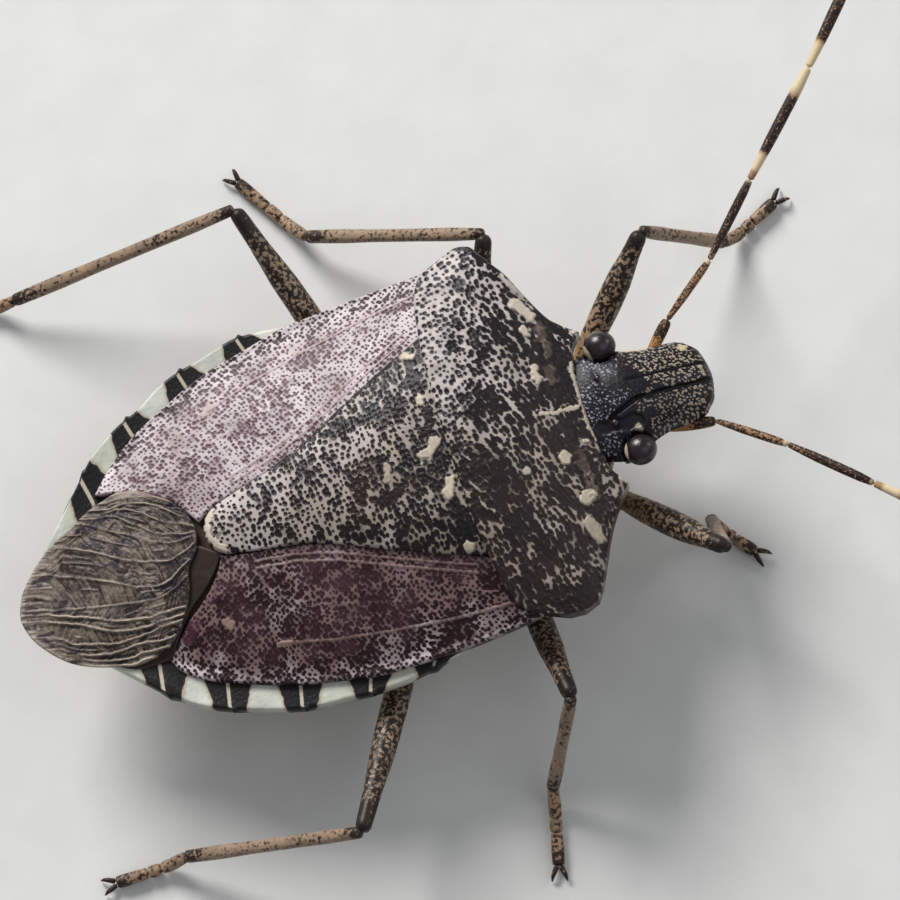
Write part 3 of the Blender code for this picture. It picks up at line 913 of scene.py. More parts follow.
@dataclass
class Pronotum:
    """The broad front shield, mottled all over with pits and pale smooth spots."""

    columns: int = 36
    rows: int = 11
    cuts: int = 12
    pit_depth: float = 0.013
    callus_height: float = 0.035
    grain: Grain = Grain()
    marks: tuple[Mark, ...] = (
        Mark(P, ((4.26, 2.56), (4.48, 2.3)), 0.115),
        Mark(P, ((4.26, 1.95),), 0.1),
        Mark(P, ((4.17, 0.87), (4.2, 1.06)), 0.1),
        Mark(P, ((4.42, 2.8), (4.16, 3.25)), 0.07, 0.45),
        Mark(P, ((4.25, -0.98),), 0.13),
        Mark(P, ((4.48, -1.86), (4.38, -1.98)), 0.12),
        Mark(P, ((4.77, -0.72),), 0.055),
        Mark(P, ((5.11, -0.98),), 0.055),
        Mark(P, ((4.3, -2.45), (4.38, -2.8)), 0.11, 0.7),
        Mark(P, ((3.39, -1.1),), 0.1, 0.6),
        Mark(P, ((5.0, 1.06), (4.95, 0.85), (4.94, 0.45), (4.94, -0.08), (4.92, -0.42), (5.0, -0.7)),
             0.045, 0.85),
        Mark(P, ((4.06, 0.05), (4.35, 0.02), (4.81, 0.07)), 0.045, 0.8),
        Mark(P, ((5.27, 1.75), (5.3, 1.7)), 0.06),
        Mark(P, ((5.3, -1.68), (5.25, -1.6)), 0.06),
        Mark(D, ((4.33, -0.26), (4.51, -0.48)), 0.16),
        Mark(D, ((3.2, 0.47), (3.12, 0.67)), 0.17, 0.9),
        Mark(D, ((3.4, 4.15), (3.66, 4.06), (3.95, 3.62), (4.2, 3.3)), 0.1, 0.9),
        Mark(D, ((3.36, -4.15), (3.76, -4.0), (4.05, -3.7)), 0.12, 0.9),
        Mark(D, ((4.42, 2.95), (4.64, 2.44), (4.86, 2.1)), 0.06, 0.9),
        Mark(D, ((4.66, 2.36), (4.42, 2.2), (4.38, 1.5), (4.27, 0.66), (4.5, 0.42), (4.7, 0.75),
                 (4.75, 1.5), (4.74, 2.15), (4.66, 2.36)), 0.09),
        Mark(D, ((4.6, -2.25), (4.45, -1.5), (4.42, -0.8), (4.7, -0.95), (4.78, -1.6), (4.7, -2.1)), 0.08),
        Mark(D, ((5.2, 1.6), (4.98, 1.5), (4.9, 1.2)), 0.09, 0.8),
        Mark(D, ((5.2, -1.55), (4.98, -1.4), (4.9, -1.1)), 0.09, 0.8),
        Mark(S, ((4.58, 2.0), (4.56, 1.48), (4.46, 0.75)), 0.1),
        Mark(S, ((4.62, -1.9), (4.62, -1.44), (4.56, -1.0)), 0.09),
    )

    def relief(self, x: Array, y: Array, s: Array, t: Array, inset: Array) -> tuple[Array, dict]:
        """Pits, spots and the smooth rear rim. The shield is painted darker on the bug's right, partly as
        painted shade, and paler on its left rear, partly as painted light.

        Args:
            x: Places in the plan.
            y: Places in the plan.
            s: Shares of the way from the right edge to the left one; not used.
            t: Shares of the way from the front edge to the rear one.
            inset: Distances from the rim.

        Returns:
            The extra height and the masks.
        """
        along = x * self.grain.lean[0] + y * self.grain.lean[1]
        across = x * self.grain.lean[1] - y * self.grain.lean[0]
        streak = noise(along / 3.4, across, 0.16, 15, 2)
        blotch = noise(x, y, 0.55, 5, 3)
        side = smooth(-2.4, 2.6, y)
        rear_left = smooth(0.35, 0.8, t) * smooth(-0.5, 1.6, y)
        bulk = 1.1 + 0.12 * blotch - 0.04 * rear_left
        halo, hollow = self.grain.read(x, y, bulk, 1.55 - 0.5 * rear_left)
        pale = paint(self.marks, P, x, y, 0.5)
        dark = paint(self.marks, D, x, y, 0.9)
        slick = paint(self.marks, S, x, y, 1.2)
        quiet = np.clip(1 - pale - 0.3 * slick, 0, 1)
        # The side and rear_left terms paint more stain on the bug's right as painted shade and less on the
        # left rear as painted light, over the shield's own mottling.
        stain = 0.58 - 0.22 * side - 0.08 * rear_left + 0.4 * blotch + 0.36 * streak * (1 - 0.6 * rear_left)
        stain = smooth(0.15, 0.95, stain + 0.75 * dark)
        teeth = smooth(0.14, 0.03, inset) * np.sign(np.sin(x * 48.0)) * smooth(3.9, 4.2, x)
        ink = np.clip(halo + stain * (0.55 + 0.45 * halo) + 0.5 * teeth, 0, 1) * quiet
        ink = np.maximum(ink, 0.8 * smooth(0.5, 0.9, dark)) * (1 - 0.95 * pale)
        height = -self.pit_depth * hollow * quiet + self.callus_height * pale + 0.02 * slick
        height += 0.014 * noise(x, y, 0.25, 9, 2) * quiet + 0.012 * teeth
        # The side and rear_left terms paint the ground paler on the left and its rear, partly as painted
        # light, and darker on the right, partly as painted shade.
        tone = np.clip(0.1 + 0.45 * side + 0.4 * rear_left + 0.2 * noise(x, y, 0.8, 21), 0, 1)
        gloom = np.clip(0.5 * (1 - side) + 0.2 * noise(x, y, 0.8, 33), 0, 1)
        return height, {"ink": ink, "pale": pale * (0.8 - 0.35 * halo), "tone": tone, "gloom": gloom,
                        "patch": slick * 0.8}

    def build(self) -> None:
        """Makes the shield."""
        collar = (*COLLAR[:-1], LEFT_SHOULDER[0])
        plan = Patch(collar, HEM, mirrored(SHOULDER), LEFT_SHOULDER)
        plate = Plate(plan, shield_top, self.columns, self.rows, self.cuts, thickness=0.55, rim=0.07)
        plate.build("pronotum_shell", self.relief).finish(Shelf.take(SHELL), "mottled_shield", "pronotum")


@dataclass
class Scutellum:
    """The long triangular plate between the wings."""

    columns: int = 20
    rows: int = 23
    cuts: int = 12
    step: float = 0.08
    pit_depth: float = 0.013
    grain: Grain = Grain(seed=41, spacing=0.118, radius=0.042, stretch=1.1, lean=(0.15, -0.989))
    marks: tuple[Mark, ...] = (
        Mark(P, ((1.66, 2.2), (1.72, 2.14)), 0.1),
        Mark(P, ((1.7, 1.02), (1.7, 1.14)), 0.085),
        Mark(P, ((1.7, 0.08), (1.58, -0.08), (1.34, -0.1)), 0.1, 0.75),
        Mark(P, ((1.78, -0.78), (1.7, -1.02)), 0.12, 0.95),
        Mark(P, ((1.74, -2.2),), 0.1),
        Mark(P, ((0.5, -0.3), (0.62, -0.1)), 0.08, 0.45),
        Mark(P, ((-3.25, 0.42), (-3.42, 0.2), (-3.46, -0.05), (-3.36, -0.36), (-3.2, -0.46)), 0.06),
        Mark(D, ((1.7, 1.94), (1.68, 1.5)), 0.17),
        Mark(D, ((1.7, 0.75), (1.68, 0.35)), 0.15),
        Mark(D, ((1.72, -1.3), (1.75, -2.0)), 0.14),
        Mark(D, ((1.78, 2.4), (1.08, 2.04), (0.1, 1.6), (-0.9, 1.12), (-1.65, 0.84)), 0.04),
        Mark(D, ((-3.3, 0.02), (-3.26, -0.16)), 0.06, 0.5),
        Mark(D, ((0.7, -0.62), (0.42, -0.7)), 0.13, 0.9),
    )

    def top(self, x: Array, y: Array) -> Array:
        """The height of the plate, which stands a step above the wings.

        Args:
            x: Places in the plan.
            y: Places in the plan.

        Returns:
            The heights.
        """
        edge = wing_top(x, y) + self.step
        half = SCUTELLUM_HALF(x)
        return edge + np.maximum(0.0, scutellum_crest(x) - edge) * dome(y / half)

    def relief(self, x: Array, y: Array, s: Array, t: Array, inset: Array) -> tuple[Array, dict]:
        """Pits, cross wrinkles and spots. The plate is painted paler on the bug's left, partly as painted
        light, and darker on its right, the base included, partly as painted shade.

        Args:
            x: Places in the plan.
            y: Places in the plan.
            s: Shares of the way from the right edge to the left one; not used.
            t: Shares of the way from the front edge to the rear one; not used.
            inset: Distances from the rim; not used.

        Returns:
            The extra height and the masks.
        """
        blotch = noise(x, y, 0.55, 55, 3)
        tip = smooth(-1.8, -3.0, x)
        base = smooth(-0.4, 1.0, x + 0.35 * y * (y < 0))
        left = smooth(-0.8, 0.9, y)
        wrinkle = noise(x * 3.2 - y * 0.25, y * 0.6, 0.4, 61, 2)
        bulk = 0.98 + 0.12 * blotch - 0.16 * tip
        halo, hollow = self.grain.read(x, y, bulk, 1.3)
        pale = paint(self.marks, P, x, y, 0.5)
        dark = paint(self.marks, D, x, y, 0.8)
        # The left terms paint less stain on the bug's left and more on the right of the base, partly as
        # painted light and shade.
        stain = 0.44 - 0.3 * tip + 0.24 * base * (1.2 - left) - 0.1 * left + 0.4 * blotch + 0.24 * wrinkle
        stain = smooth(0.15, 0.95, stain + 0.75 * dark)
        quiet = 1 - pale
        ink = np.clip(halo + stain * (0.55 + 0.45 * halo), 0, 1) * quiet
        ink = np.maximum(ink, 0.8 * smooth(0.5, 0.9, dark)) * (1 - 0.9 * pale)
        height = -self.pit_depth * hollow * quiet + 0.035 * pale + 0.014 * wrinkle * quiet
        # The left term paints the ground paler on the bug's left, partly as painted light.
        tone = np.clip(0.3 + 0.25 * noise(x, y, 0.8, 71) + 0.45 * tip + 0.35 * left - 0.2 * base, 0, 1)
        gloom = np.clip(0.3 + 0.3 * noise(x, y, 0.7, 75) - 0.3 * smooth(0.5, 1.8, x), 0, 1)
        return height, {"ink": ink, "pale": pale * (0.8 - 0.35 * halo), "tone": tone, "gloom": gloom,
                        "patch": 0 * x}

    def build(self) -> None:
        """Makes the plate."""
        plan = Patch(SCUTELLUM_BASE, SCUTELLUM_TIP, mirrored(SCUTELLUM_SIDE), SCUTELLUM_SIDE)
        plate = Plate(plan, self.top, self.columns, self.rows, self.cuts, thickness=0.4, rim=0.06)
        plate.build("scutellum_shell", self.relief).finish(Shelf.take(SHELL), "mottled_shield", "scutellum")


SCUTELLUM_HALF = Graph(*SCUTELLUM_SIDE, (-3.56, 0.2))


@dataclass
class Forewing:
    """The leathery part of one forewing, pitted, with raised veins."""

    side: str
    columns: int = 10
    rows: int = 34
    cuts: int = 11
    pit_depth: float = 0.011
    grain: Grain = Grain(seed=81, spacing=0.094, radius=0.031, stretch=1.05, lean=(0.9, 0.43), jitter=0.6)
    veins: tuple[Mark, ...] = (
        Mark(R, ((2.2, 3.55), (1.0, 3.44), (-0.3, 3.24), (-1.58, 3.0), (-2.3, 2.8), (-2.7, 2.68)), 0.032),
        Mark(R, ((1.75, 2.75), (0.95, 2.4), (0.0, 1.97), (-1.0, 1.5), (-1.8, 1.22), (-2.7, 1.05)), 0.028),
        Mark(R, ((1.8, 2.6), (0.95, 2.24), (0.0, 1.8), (-1.0, 1.34), (-1.8, 1.07), (-2.7, 0.9)), 0.025),
        Mark(R, ((1.9, 3.2), (0.6, 2.95), (-0.9, 2.45), (-2.2, 2.05), (-3.2, 1.9)), 0.03, 0.35),
    )
    left_marks: tuple[Mark, ...] = (
        Mark(P, ((-2.62, 2.72), (-2.85, 2.62)), 0.09, 0.7),
        Mark(S, ((-3.05, 1.2), (-2.75, 1.35)), 0.25, 0.7),
        Mark(S, ((-1.2, 1.9), (-2.0, 1.8)), 0.3, 0.3),
        Mark(D, ((1.2, 3.78), (0.9, 3.75)), 0.08, 0.8),
        Mark(D, ((-0.6, 3.75), (-0.9, 3.7)), 0.07, 0.8),
        Mark(D, ((-1.7, 3.5), (-1.9, 3.42)), 0.07, 0.8),
        Mark(D, ((-3.1, 3.1), (-3.3, 3.0)), 0.07, 0.8),
    )
    right_marks: tuple[Mark, ...] = (
        Mark(P, ((-3.58, 1.96), (-3.64, 1.9)), 0.1, 0.8),
        Mark(P, ((-2.5, 2.75), (-2.75, 2.7)), 0.05, 0.7),
        Mark(D, ((-3.95, 2.0), (-3.85, 2.1)), 0.13),
        Mark(D, ((-2.45, 1.4), (-2.3, 1.45)), 0.12),
        Mark(D, ((-1.2, 3.5), (-0.9, 3.55)), 0.14, 0.7),
        Mark(D, ((0.6, 3.7), (1.4, 3.75)), 0.1, 0.8),
        Mark(S, ((-4.6, 1.95), (-4.1, 1.5), (-3.7, 1.1)), 0.12, 0.8),
    )

    def relief(self, x: Array, y: Array, s: Array, t: Array, inset: Array) -> tuple[Array, dict]:
        """Pits and veins. The left wing is painted paler, with paler veins, partly as painted light, and the
        right one darker, partly as painted shade.

        Args:
            x: Places in the plan.
            y: Places in the plan.
            s: Shares of the way from the right edge to the left one; not used.
            t: Shares of the way from the front edge to the rear one; not used.
            inset: Distances from the rim; not used.

        Returns:
            The extra height and the masks.
        """
        left = self.side == "left"
        wide = np.abs(y)
        seed = 90 if left else 190
        marks = self.left_marks if left else self.right_marks
        ridge = paint(self.veins, R, x, wide, 0.12)
        blotch = noise(x, y, 0.5, seed, 3)
        outer = self.outer_share(x, wide)
        costal = smooth(0.86, 0.93, outer)
        bulk = (0.92 if left else 1.16) + 0.1 * blotch + (0.15 if left else 0.0) * costal
        halo, hollow = self.grain.read(x, y, bulk)
        pale = paint(marks, P, x, wide, 0.5)
        dark = paint(marks, D, x, wide, 0.8)
        hue = paint(marks, S, x, wide, 0.6)
        quiet = np.clip(1 - pale - 0.5 * ridge, 0, 1)
        # The starting values paint more stain on the right wing than on the left, partly as painted shade.
        stain = (0.43 if left else 0.64) + 0.4 * blotch + 0.3 * noise(x, y, 0.16, seed + 3, 2) - 0.12 * costal
        stain = smooth(0.15, 0.95, stain + 0.7 * dark)
        ink = np.clip(halo + stain * (0.5 + 0.5 * halo), 0, 1) * quiet * (1 - 0.85 * pale)
        height = -self.pit_depth * hollow * quiet + 0.018 * ridge + 0.02 * pale
        height += 0.01 * noise(x, y, 0.3, seed + 5)
        # The side's values paint the left wing's ground paler, its ink warmer and its veins paler, partly as
        # painted light, and the right wing darker, partly as painted shade.
        tone = np.clip((0.8 if left else 0.12) + 0.35 * costal + 0.3 * noise(x, y, 0.7, seed + 9), 0, 1)
        gloom = np.clip((0.9 if left else 0.15) + 0.3 * noise(x, y, 0.8, seed + 13) - 0.9 * costal, 0, 1)
        vein = ridge * (0.25 if left else 0.08)
        return height, {"ink": ink, "pale": np.maximum(pale * 0.6, vein), "tone": tone, "gloom": gloom,
                        "patch": hue * (0.4 + 0.3 * blotch)}

    def outer_share(self, x: Array, wide: Array) -> Array:
        """How near a place is to the wing's outer edge, 1 being on it."""
        half = Graph(*(LEFT_WING_OUTER if self.side == "left" else RIGHT_WING_OUTER))
        return wide / half(x)

    def build(self) -> None:
        """Makes the wing's leathery part."""
        if self.side == "left":
            plan = Patch(WING_FRONT, LEFT_WING_END, WING_INNER, LEFT_WING_OUTER)
        else:
            edges = (WING_FRONT, RIGHT_WING_END, RIGHT_WING_INNER, RIGHT_WING_OUTER)
            plan = Patch(*(mirrored(edge) for edge in edges))
        plate = Plate(plan, wing_top, self.columns, self.rows, self.cuts, thickness=0.3, rim=0.06,
                      flip=self.side == "right")
        piece = plate.build(f"forewing_{self.side}_shell", self.relief)
        piece.finish(Shelf.take(WING), "wing", f"forewing_{self.side}")


@dataclass
class Membrane:
    """The thin wrinkled end of a forewing, with ridges that fan out from its root."""

    front: tuple[Pair, ...] = (
        (-4.95, -1.95), (-4.54, -1.57), (-4.22, -1.04), (-4.06, -0.54), (-3.78, -0.15), (-3.69, 0.22),
    )
    rear: tuple[Pair, ...] = (
        (-6.18, -1.98), (-6.63, -1.83), (-7.11, -1.58), (-7.54, -1.16), (-7.8, -0.73), (-7.88, -0.37),
        (-7.74, 0.09), (-7.43, 0.48), (-7.06, 0.8), (-6.65, 1.05),
    )
    right: tuple[Pair, ...] = ((-4.95, -1.95), (-5.3, -2.05), (-5.67, -2.1), (-6.18, -1.98))
    left: tuple[Pair, ...] = (
        (-3.69, 0.22), (-3.79, 0.63), (-4.03, 0.98), (-4.38, 1.29), (-4.77, 1.53), (-5.14, 1.62),
        (-5.38, 1.57), (-5.81, 1.44), (-6.27, 1.2), (-6.65, 1.05),
    )
    ridges: tuple[tuple[Pair, ...], ...] = (
        ((-5.38, -1.50), (-5.66, -1.24), (-6.09, -1.11), (-6.52, -1.00), (-6.94, -1.00), (-7.37, -1.13)),
        ((-5.36, -1.62), (-5.77, -1.45), (-6.09, -1.30), (-6.52, -1.18), (-6.94, -1.13), (-7.31, -1.26)),
        ((-5.36, -1.71), (-5.77, -1.62), (-6.20, -1.54), (-6.62, -1.37), (-7.05, -1.26), (-7.48, -1.37)),
        ((-5.36, -1.79), (-5.77, -1.84), (-6.09, -1.84), (-6.41, -1.75), (-6.73, -1.62),
         (-7.26, -1.41), (-7.59, -1.43)),
        ((-5.34, -1.88), (-5.66, -1.94), (-5.98, -2.03), (-6.30, -2.01), (-6.62, -1.90),
         (-7.05, -1.79), (-7.48, -1.65), (-7.91, -1.52)),
        ((-5.38, -2.01), (-5.66, -2.22), (-5.98, -2.39), (-6.41, -2.41), (-6.84, -2.35),
         (-7.26, -2.26), (-7.69, -2.14), (-8.29, -2.05)),
        ((-5.51, -2.39), (-5.64, -2.50), (-5.94, -2.78), (-6.30, -2.93), (-6.62, -2.93),
         (-7.05, -2.84), (-7.59, -2.74), (-8.55, -2.61)),
        ((-5.56, -2.71), (-5.88, -2.99), (-6.20, -3.16), (-6.62, -3.25), (-7.16, -3.29),
         (-7.80, -3.35), (-8.76, -3.38)),
        ((-5.60, -3.33), (-6.09, -3.46), (-6.52, -3.59), (-7.05, -3.61), (-7.69, -3.55), (-8.55, -3.46)),
        ((-5.64, -3.48), (-6.09, -3.61), (-6.52, -3.76), (-6.94, -3.82), (-7.48, -3.78),
         (-8.12, -3.65), (-8.65, -3.61)),
        ((-5.68, -3.59), (-6.09, -3.72), (-6.41, -3.87), (-6.84, -4.00), (-7.37, -4.08),
         (-7.91, -4.08), (-8.44, -3.93)),
        ((-5.71, -3.85), (-6.20, -4.02), (-6.73, -4.12), (-7.26, -4.27), (-7.80, -4.29), (-8.33, -4.17)),
        ((-5.81, -4.08), (-6.09, -4.15), (-6.52, -4.27), (-7.05, -4.40), (-7.69, -4.40)),
        ((-5.85, -4.19), (-6.20, -4.32), (-6.52, -4.40), (-6.84, -4.51), (-7.48, -4.51)),
    )
    ridge_height: float = 0.06
    lift: float = 0.03

    def top(self, x: Array, y: Array) -> Array:
        """The height of the membrane, a little above the wing under it."""
        return wing_top(x, y) + self.lift

    def folds(self, x: Array, y: Array) -> tuple[Array, Array]:
        """Counts the ridges from the wing's inner edge.

        Args:
            x: Places in the plan.
            y: Places in the plan.

        Returns:
            The number of ridges passed, with a fraction, and the width of the gap between two ridges.
        """
        ahead = 0.952 * x - 0.297 * y - 1.81
        aside = 0.307 * x + 0.919 * y - 0.8
        levels = [Graph(*ridge)(ahead) for ridge in self.ridges]
        levels = [levels[0] + 0.3, *levels, levels[-1] - 0.3]
        line, gap = np.zeros(len(x)), np.full(len(x), 0.3)
        for upper, lower in zip(levels, levels[1:]):
            width = np.maximum(upper - lower, 0.04)
            share = (upper - aside) / width
            line += np.clip(share, 0, 1)
            gap = np.where((share > 0) & (share < 1), width, gap)
        return line, gap

    def relief(self, x: Array, y: Array, s: Array, t: Array, inset: Array) -> tuple[Array, dict]:
        """Ridges that crowd together at the root, wrinkles between them and small dark spots. The ridge tops
        and raised wrinkles are painted paler, partly as painted light, and the valleys beside the ridges
        darker as painted shade.

        Args:
            x: Places in the plan.
            y: Places in the plan.
            s: Shares of the way from the right edge to the left one; not used.
            t: Shares of the way from the front edge to the rear one.
            inset: Distances from the rim.

        Returns:
            The extra height and the masks.
        """
        line, gap = self.folds(x, y)
        line = line + (0.02 * noise(x, y, 0.5, 211, 2) + 0.008 * noise(x, y, 0.12, 213, 1)) / gap
        rank = np.round(line)
        away = np.abs(line - rank) * gap
        strength = 0.5 + 0.5 * chance(rank, 0 * rank, 5)
        strength = strength * (0.5 + 0.5 * smooth(-0.5, 0.2, noise(x, y, 0.5, 215, 2)))
        crest = bell(away, 0.026) * strength
        cell = np.floor(line)
        middle = line - cell - 0.35 - 0.3 * chance(cell, 0 * cell, 9)
        between = bell(middle * gap, 0.02) * smooth(0.1, 0.2, gap)
        between = between * smooth(-0.3, 0.3, noise(x, y, 0.45, 217, 2))
        fade = smooth(0.0, 0.03, t) * (1 - 0.75 * smooth(0.78, 0.98, t))
        wrinkle = noise(line * gap * 7 + 9 * cell, x * 1.2, 0.5, 223, 3)
        cross = noise(x * 6, y * 2.5, 0.5, 225, 2)
        fine = noise(x, y, 0.07, 227, 2)
        folds = crest + 0.5 * between
        height = self.ridge_height * folds * fade + 0.012 * wrinkle + 0.006 * cross + 0.005 * fine
        spots = smooth(0.5, 0.8, noise(x * 0.6, y * 1.4, 0.3, 231, 2))
        rim = smooth(0.2, 0.03, inset) * smooth(0.25, 0.55, t)
        # The valleys beside the ridges are painted darker as painted shade; the ridge tops and raised
        # wrinkles are painted paler, partly as painted light.
        painted_valley_shade = bell(away - 0.062, 0.03) * strength * fade
        ink_and_painted_shade = 0.42 - 0.9 * crest * fade + 0.45 * painted_valley_shade - 0.3 * wrinkle + 0.14 * cross + 0.3 * fine
        ink_and_painted_shade = ink_and_painted_shade + 0.3 * smooth(0.3, 0.0, t) - 0.15 * smooth(0.6, 0.95, t)
        ink_and_painted_shade = ink_and_painted_shade + 0.25 * noise(x, y, 0.8, 235, 2)
        tone = np.clip(0.5 + 0.6 * noise(x, y, 0.7, 241), 0, 1)
        gloom = np.clip(0.4 + 0.4 * noise(x, y, 0.5, 251), 0, 1)
        # The pale ridge tops and small folds are partly the ridges' own paler colour and partly painted
        # light.
        pale = 0.85 * smooth(0.35, 0.95, crest) * fade + 0.55 * rim * (0.55 + 0.45 * wrinkle)
        pale = np.clip(pale + 0.25 * smooth(0.4, 0.8, between) * fade + 0.06 * fine, 0, 1)
        return height, {"ink": np.clip(ink_and_painted_shade, 0, 1), "pale": pale, "tone": tone, "gloom": gloom,
                        "patch": spots * 0.8}

    def painted_shade_relief(self, x: Array, y: Array, s: Array, t: Array, inset: Array) -> tuple[Array, dict]:
        """The smooth strip of the membrane that lies below, painted nearly black, mostly as painted shade
        under the left membrane.
        """
        fine = noise(x, y, 0.25, 261, 3)
        return 0.004 * fine, {"ink": 0.9 + 0.1 * fine, "pale": 0.05 * smooth(0.08, 0.02, inset),
                              "tone": 0.3 + 0 * x, "gloom": 0.7 + 0 * x, "patch": 0 * x}

    def build(self) -> None:
        """Makes the left membrane over the right one."""
        plan = Patch(self.front, self.rear, self.right, self.left)
        over = Plate(plan, self.top, 26, 20, 11, thickness=0.1, rim=0.03)
        over.build("membrane_left", self.relief).finish(Shelf.take(MEMBRANE), "wing", "forewing_left")
        right = Patch(
            ((-5.0, -2.2), (-4.4, -1.45), (-3.75, -0.95), (-3.3, -0.45)),
            ((-7.2, -1.3), (-7.6, -0.4), (-7.3, 0.5)),
            ((-5.0, -2.2), (-5.6, -2.2), (-6.5, -1.8), (-7.2, -1.3)),
            ((-3.3, -0.45), (-5.0, 0.6), (-7.3, 0.5)),
        )
        under = Plate(right, lambda x, y: wing_top(x, y) - 0.05, 14, 14, 5, thickness=0.1, rim=0.03)
        under.build("membrane_right", self.painted_shade_relief).finish(Shelf.take(MEMBRANE), "wing", "forewing_right")


@dataclass
class Rim:
    """The banded flat edge of the abdomen beside one wing."""

    side: str
    outer: tuple[Pair, ...]
    corners: tuple[float, ...]
    front: float = 1.2
    tail: float = -7.0
    tooth: float = 0.06
    block: float = 0.46

    def __post_init__(self) -> None:
        """Fits the two outlines as smooth functions of the place along the bug."""
        wing = LEFT_WING_OUTER if self.side == "left" else RIGHT_WING_OUTER
        self.wing = Graph(*wing, (-6.5, 1.1), (-7.1, 0.6))
        self.edge = Graph(*self.outer)
        self.sign = 1 if self.side == "left" else -1

    def plan(self, s: Array, t: Array) -> Array:
        """The strip between the wing and the body's outline.

        Args:
            s: Shares of the way from the wing to the outline.
            t: Shares of the way from the front to the tail.

        Returns:
            The places, a row of x and y for each.
        """
        x = self.front + (self.tail - self.front) * t
        teeth = sum(bell(x - corner - 0.03, 0.05) for corner in self.corners)
        out = self.edge(x) + self.tooth * teeth - 0.03
        inner = np.minimum(self.wing(x) - 0.3, out - 0.3)
        return np.column_stack([x, self.sign * (inner + (out - inner) * s)])

    def top(self, x: Array, y: Array) -> Array:
        """The strip's height, dished a little."""
        share = np.clip((np.abs(y) - self.wing(x)) / 0.7, -0.3, 1.0)
        return rim_top(x) + 0.04 * share * share

    def relief(self, x: Array, y: Array, s: Array, t: Array, inset: Array) -> tuple[Array, dict]:
        """Black blocks, pale joints, fringes and teeth.

        Args:
            x: Places in the plan.
            y: Places in the plan.
            s: Shares of the way from the right edge to the left one; not used.
            t: Shares of the way from the front edge to the rear one; not used.
            inset: Distances from the rim.

        Returns:
            The extra height and the masks.
        """
        share = np.clip((np.abs(y) - self.wing(x)) / np.maximum(self.edge(x) - self.wing(x), 0.05), 0, 1)
        near = np.full(len(x), 9.0)
        for corner in self.corners:
            near = np.minimum(near, np.abs(x - corner + 0.12 * (share - 0.5)))
        reach = self.block * (1.0 - 0.32 * share) + 0.02 * noise(x, y, 0.15, 301)
        black = 1 - smooth(reach - 0.03, reach + 0.03, near)
        fringe = bell(near - reach - 0.02, 0.025)
        joint = 1 - smooth(0.02, 0.045, near)
        halo, hollow = Grain(seed=311, spacing=0.13, radius=0.035, stretch=1.0).read(x, y, 1.0)
        ink = np.clip(black * (1 - 0.95 * joint) + 0.1 * smooth(0.4, 0.8, halo) * (1 - black), 0, 1)
        tip = smooth(0.1, 0.05, inset) * bell(near, 0.07)
        height = -0.006 * hollow - 0.02 * bell(near, 0.04)
        tone = np.clip(0.4 + 0.4 * noise(x, y, 0.6, 321), 0, 1)
        return height, {"ink": np.maximum(ink, tip), "pale": joint * (1 - tip) * 0.8, "tone": tone,
                        "gloom": 0.2 + 0 * x, "patch": 0.5 * fringe * (1 - joint)}

    def build(self) -> None:
        """Makes the strip with its segments, teeth, black blocks and thin pale joints."""
        plate = Plate(self.plan, self.top, 4, 44, 8, thickness=0.3, rim=0.08)
        piece = plate.build(f"rim_{self.side}", self.relief)
        if self.sign < 0:
            piece.mesh.flip_normals()
        piece.finish(Shelf.take(RIM), "underside", "abdomen")


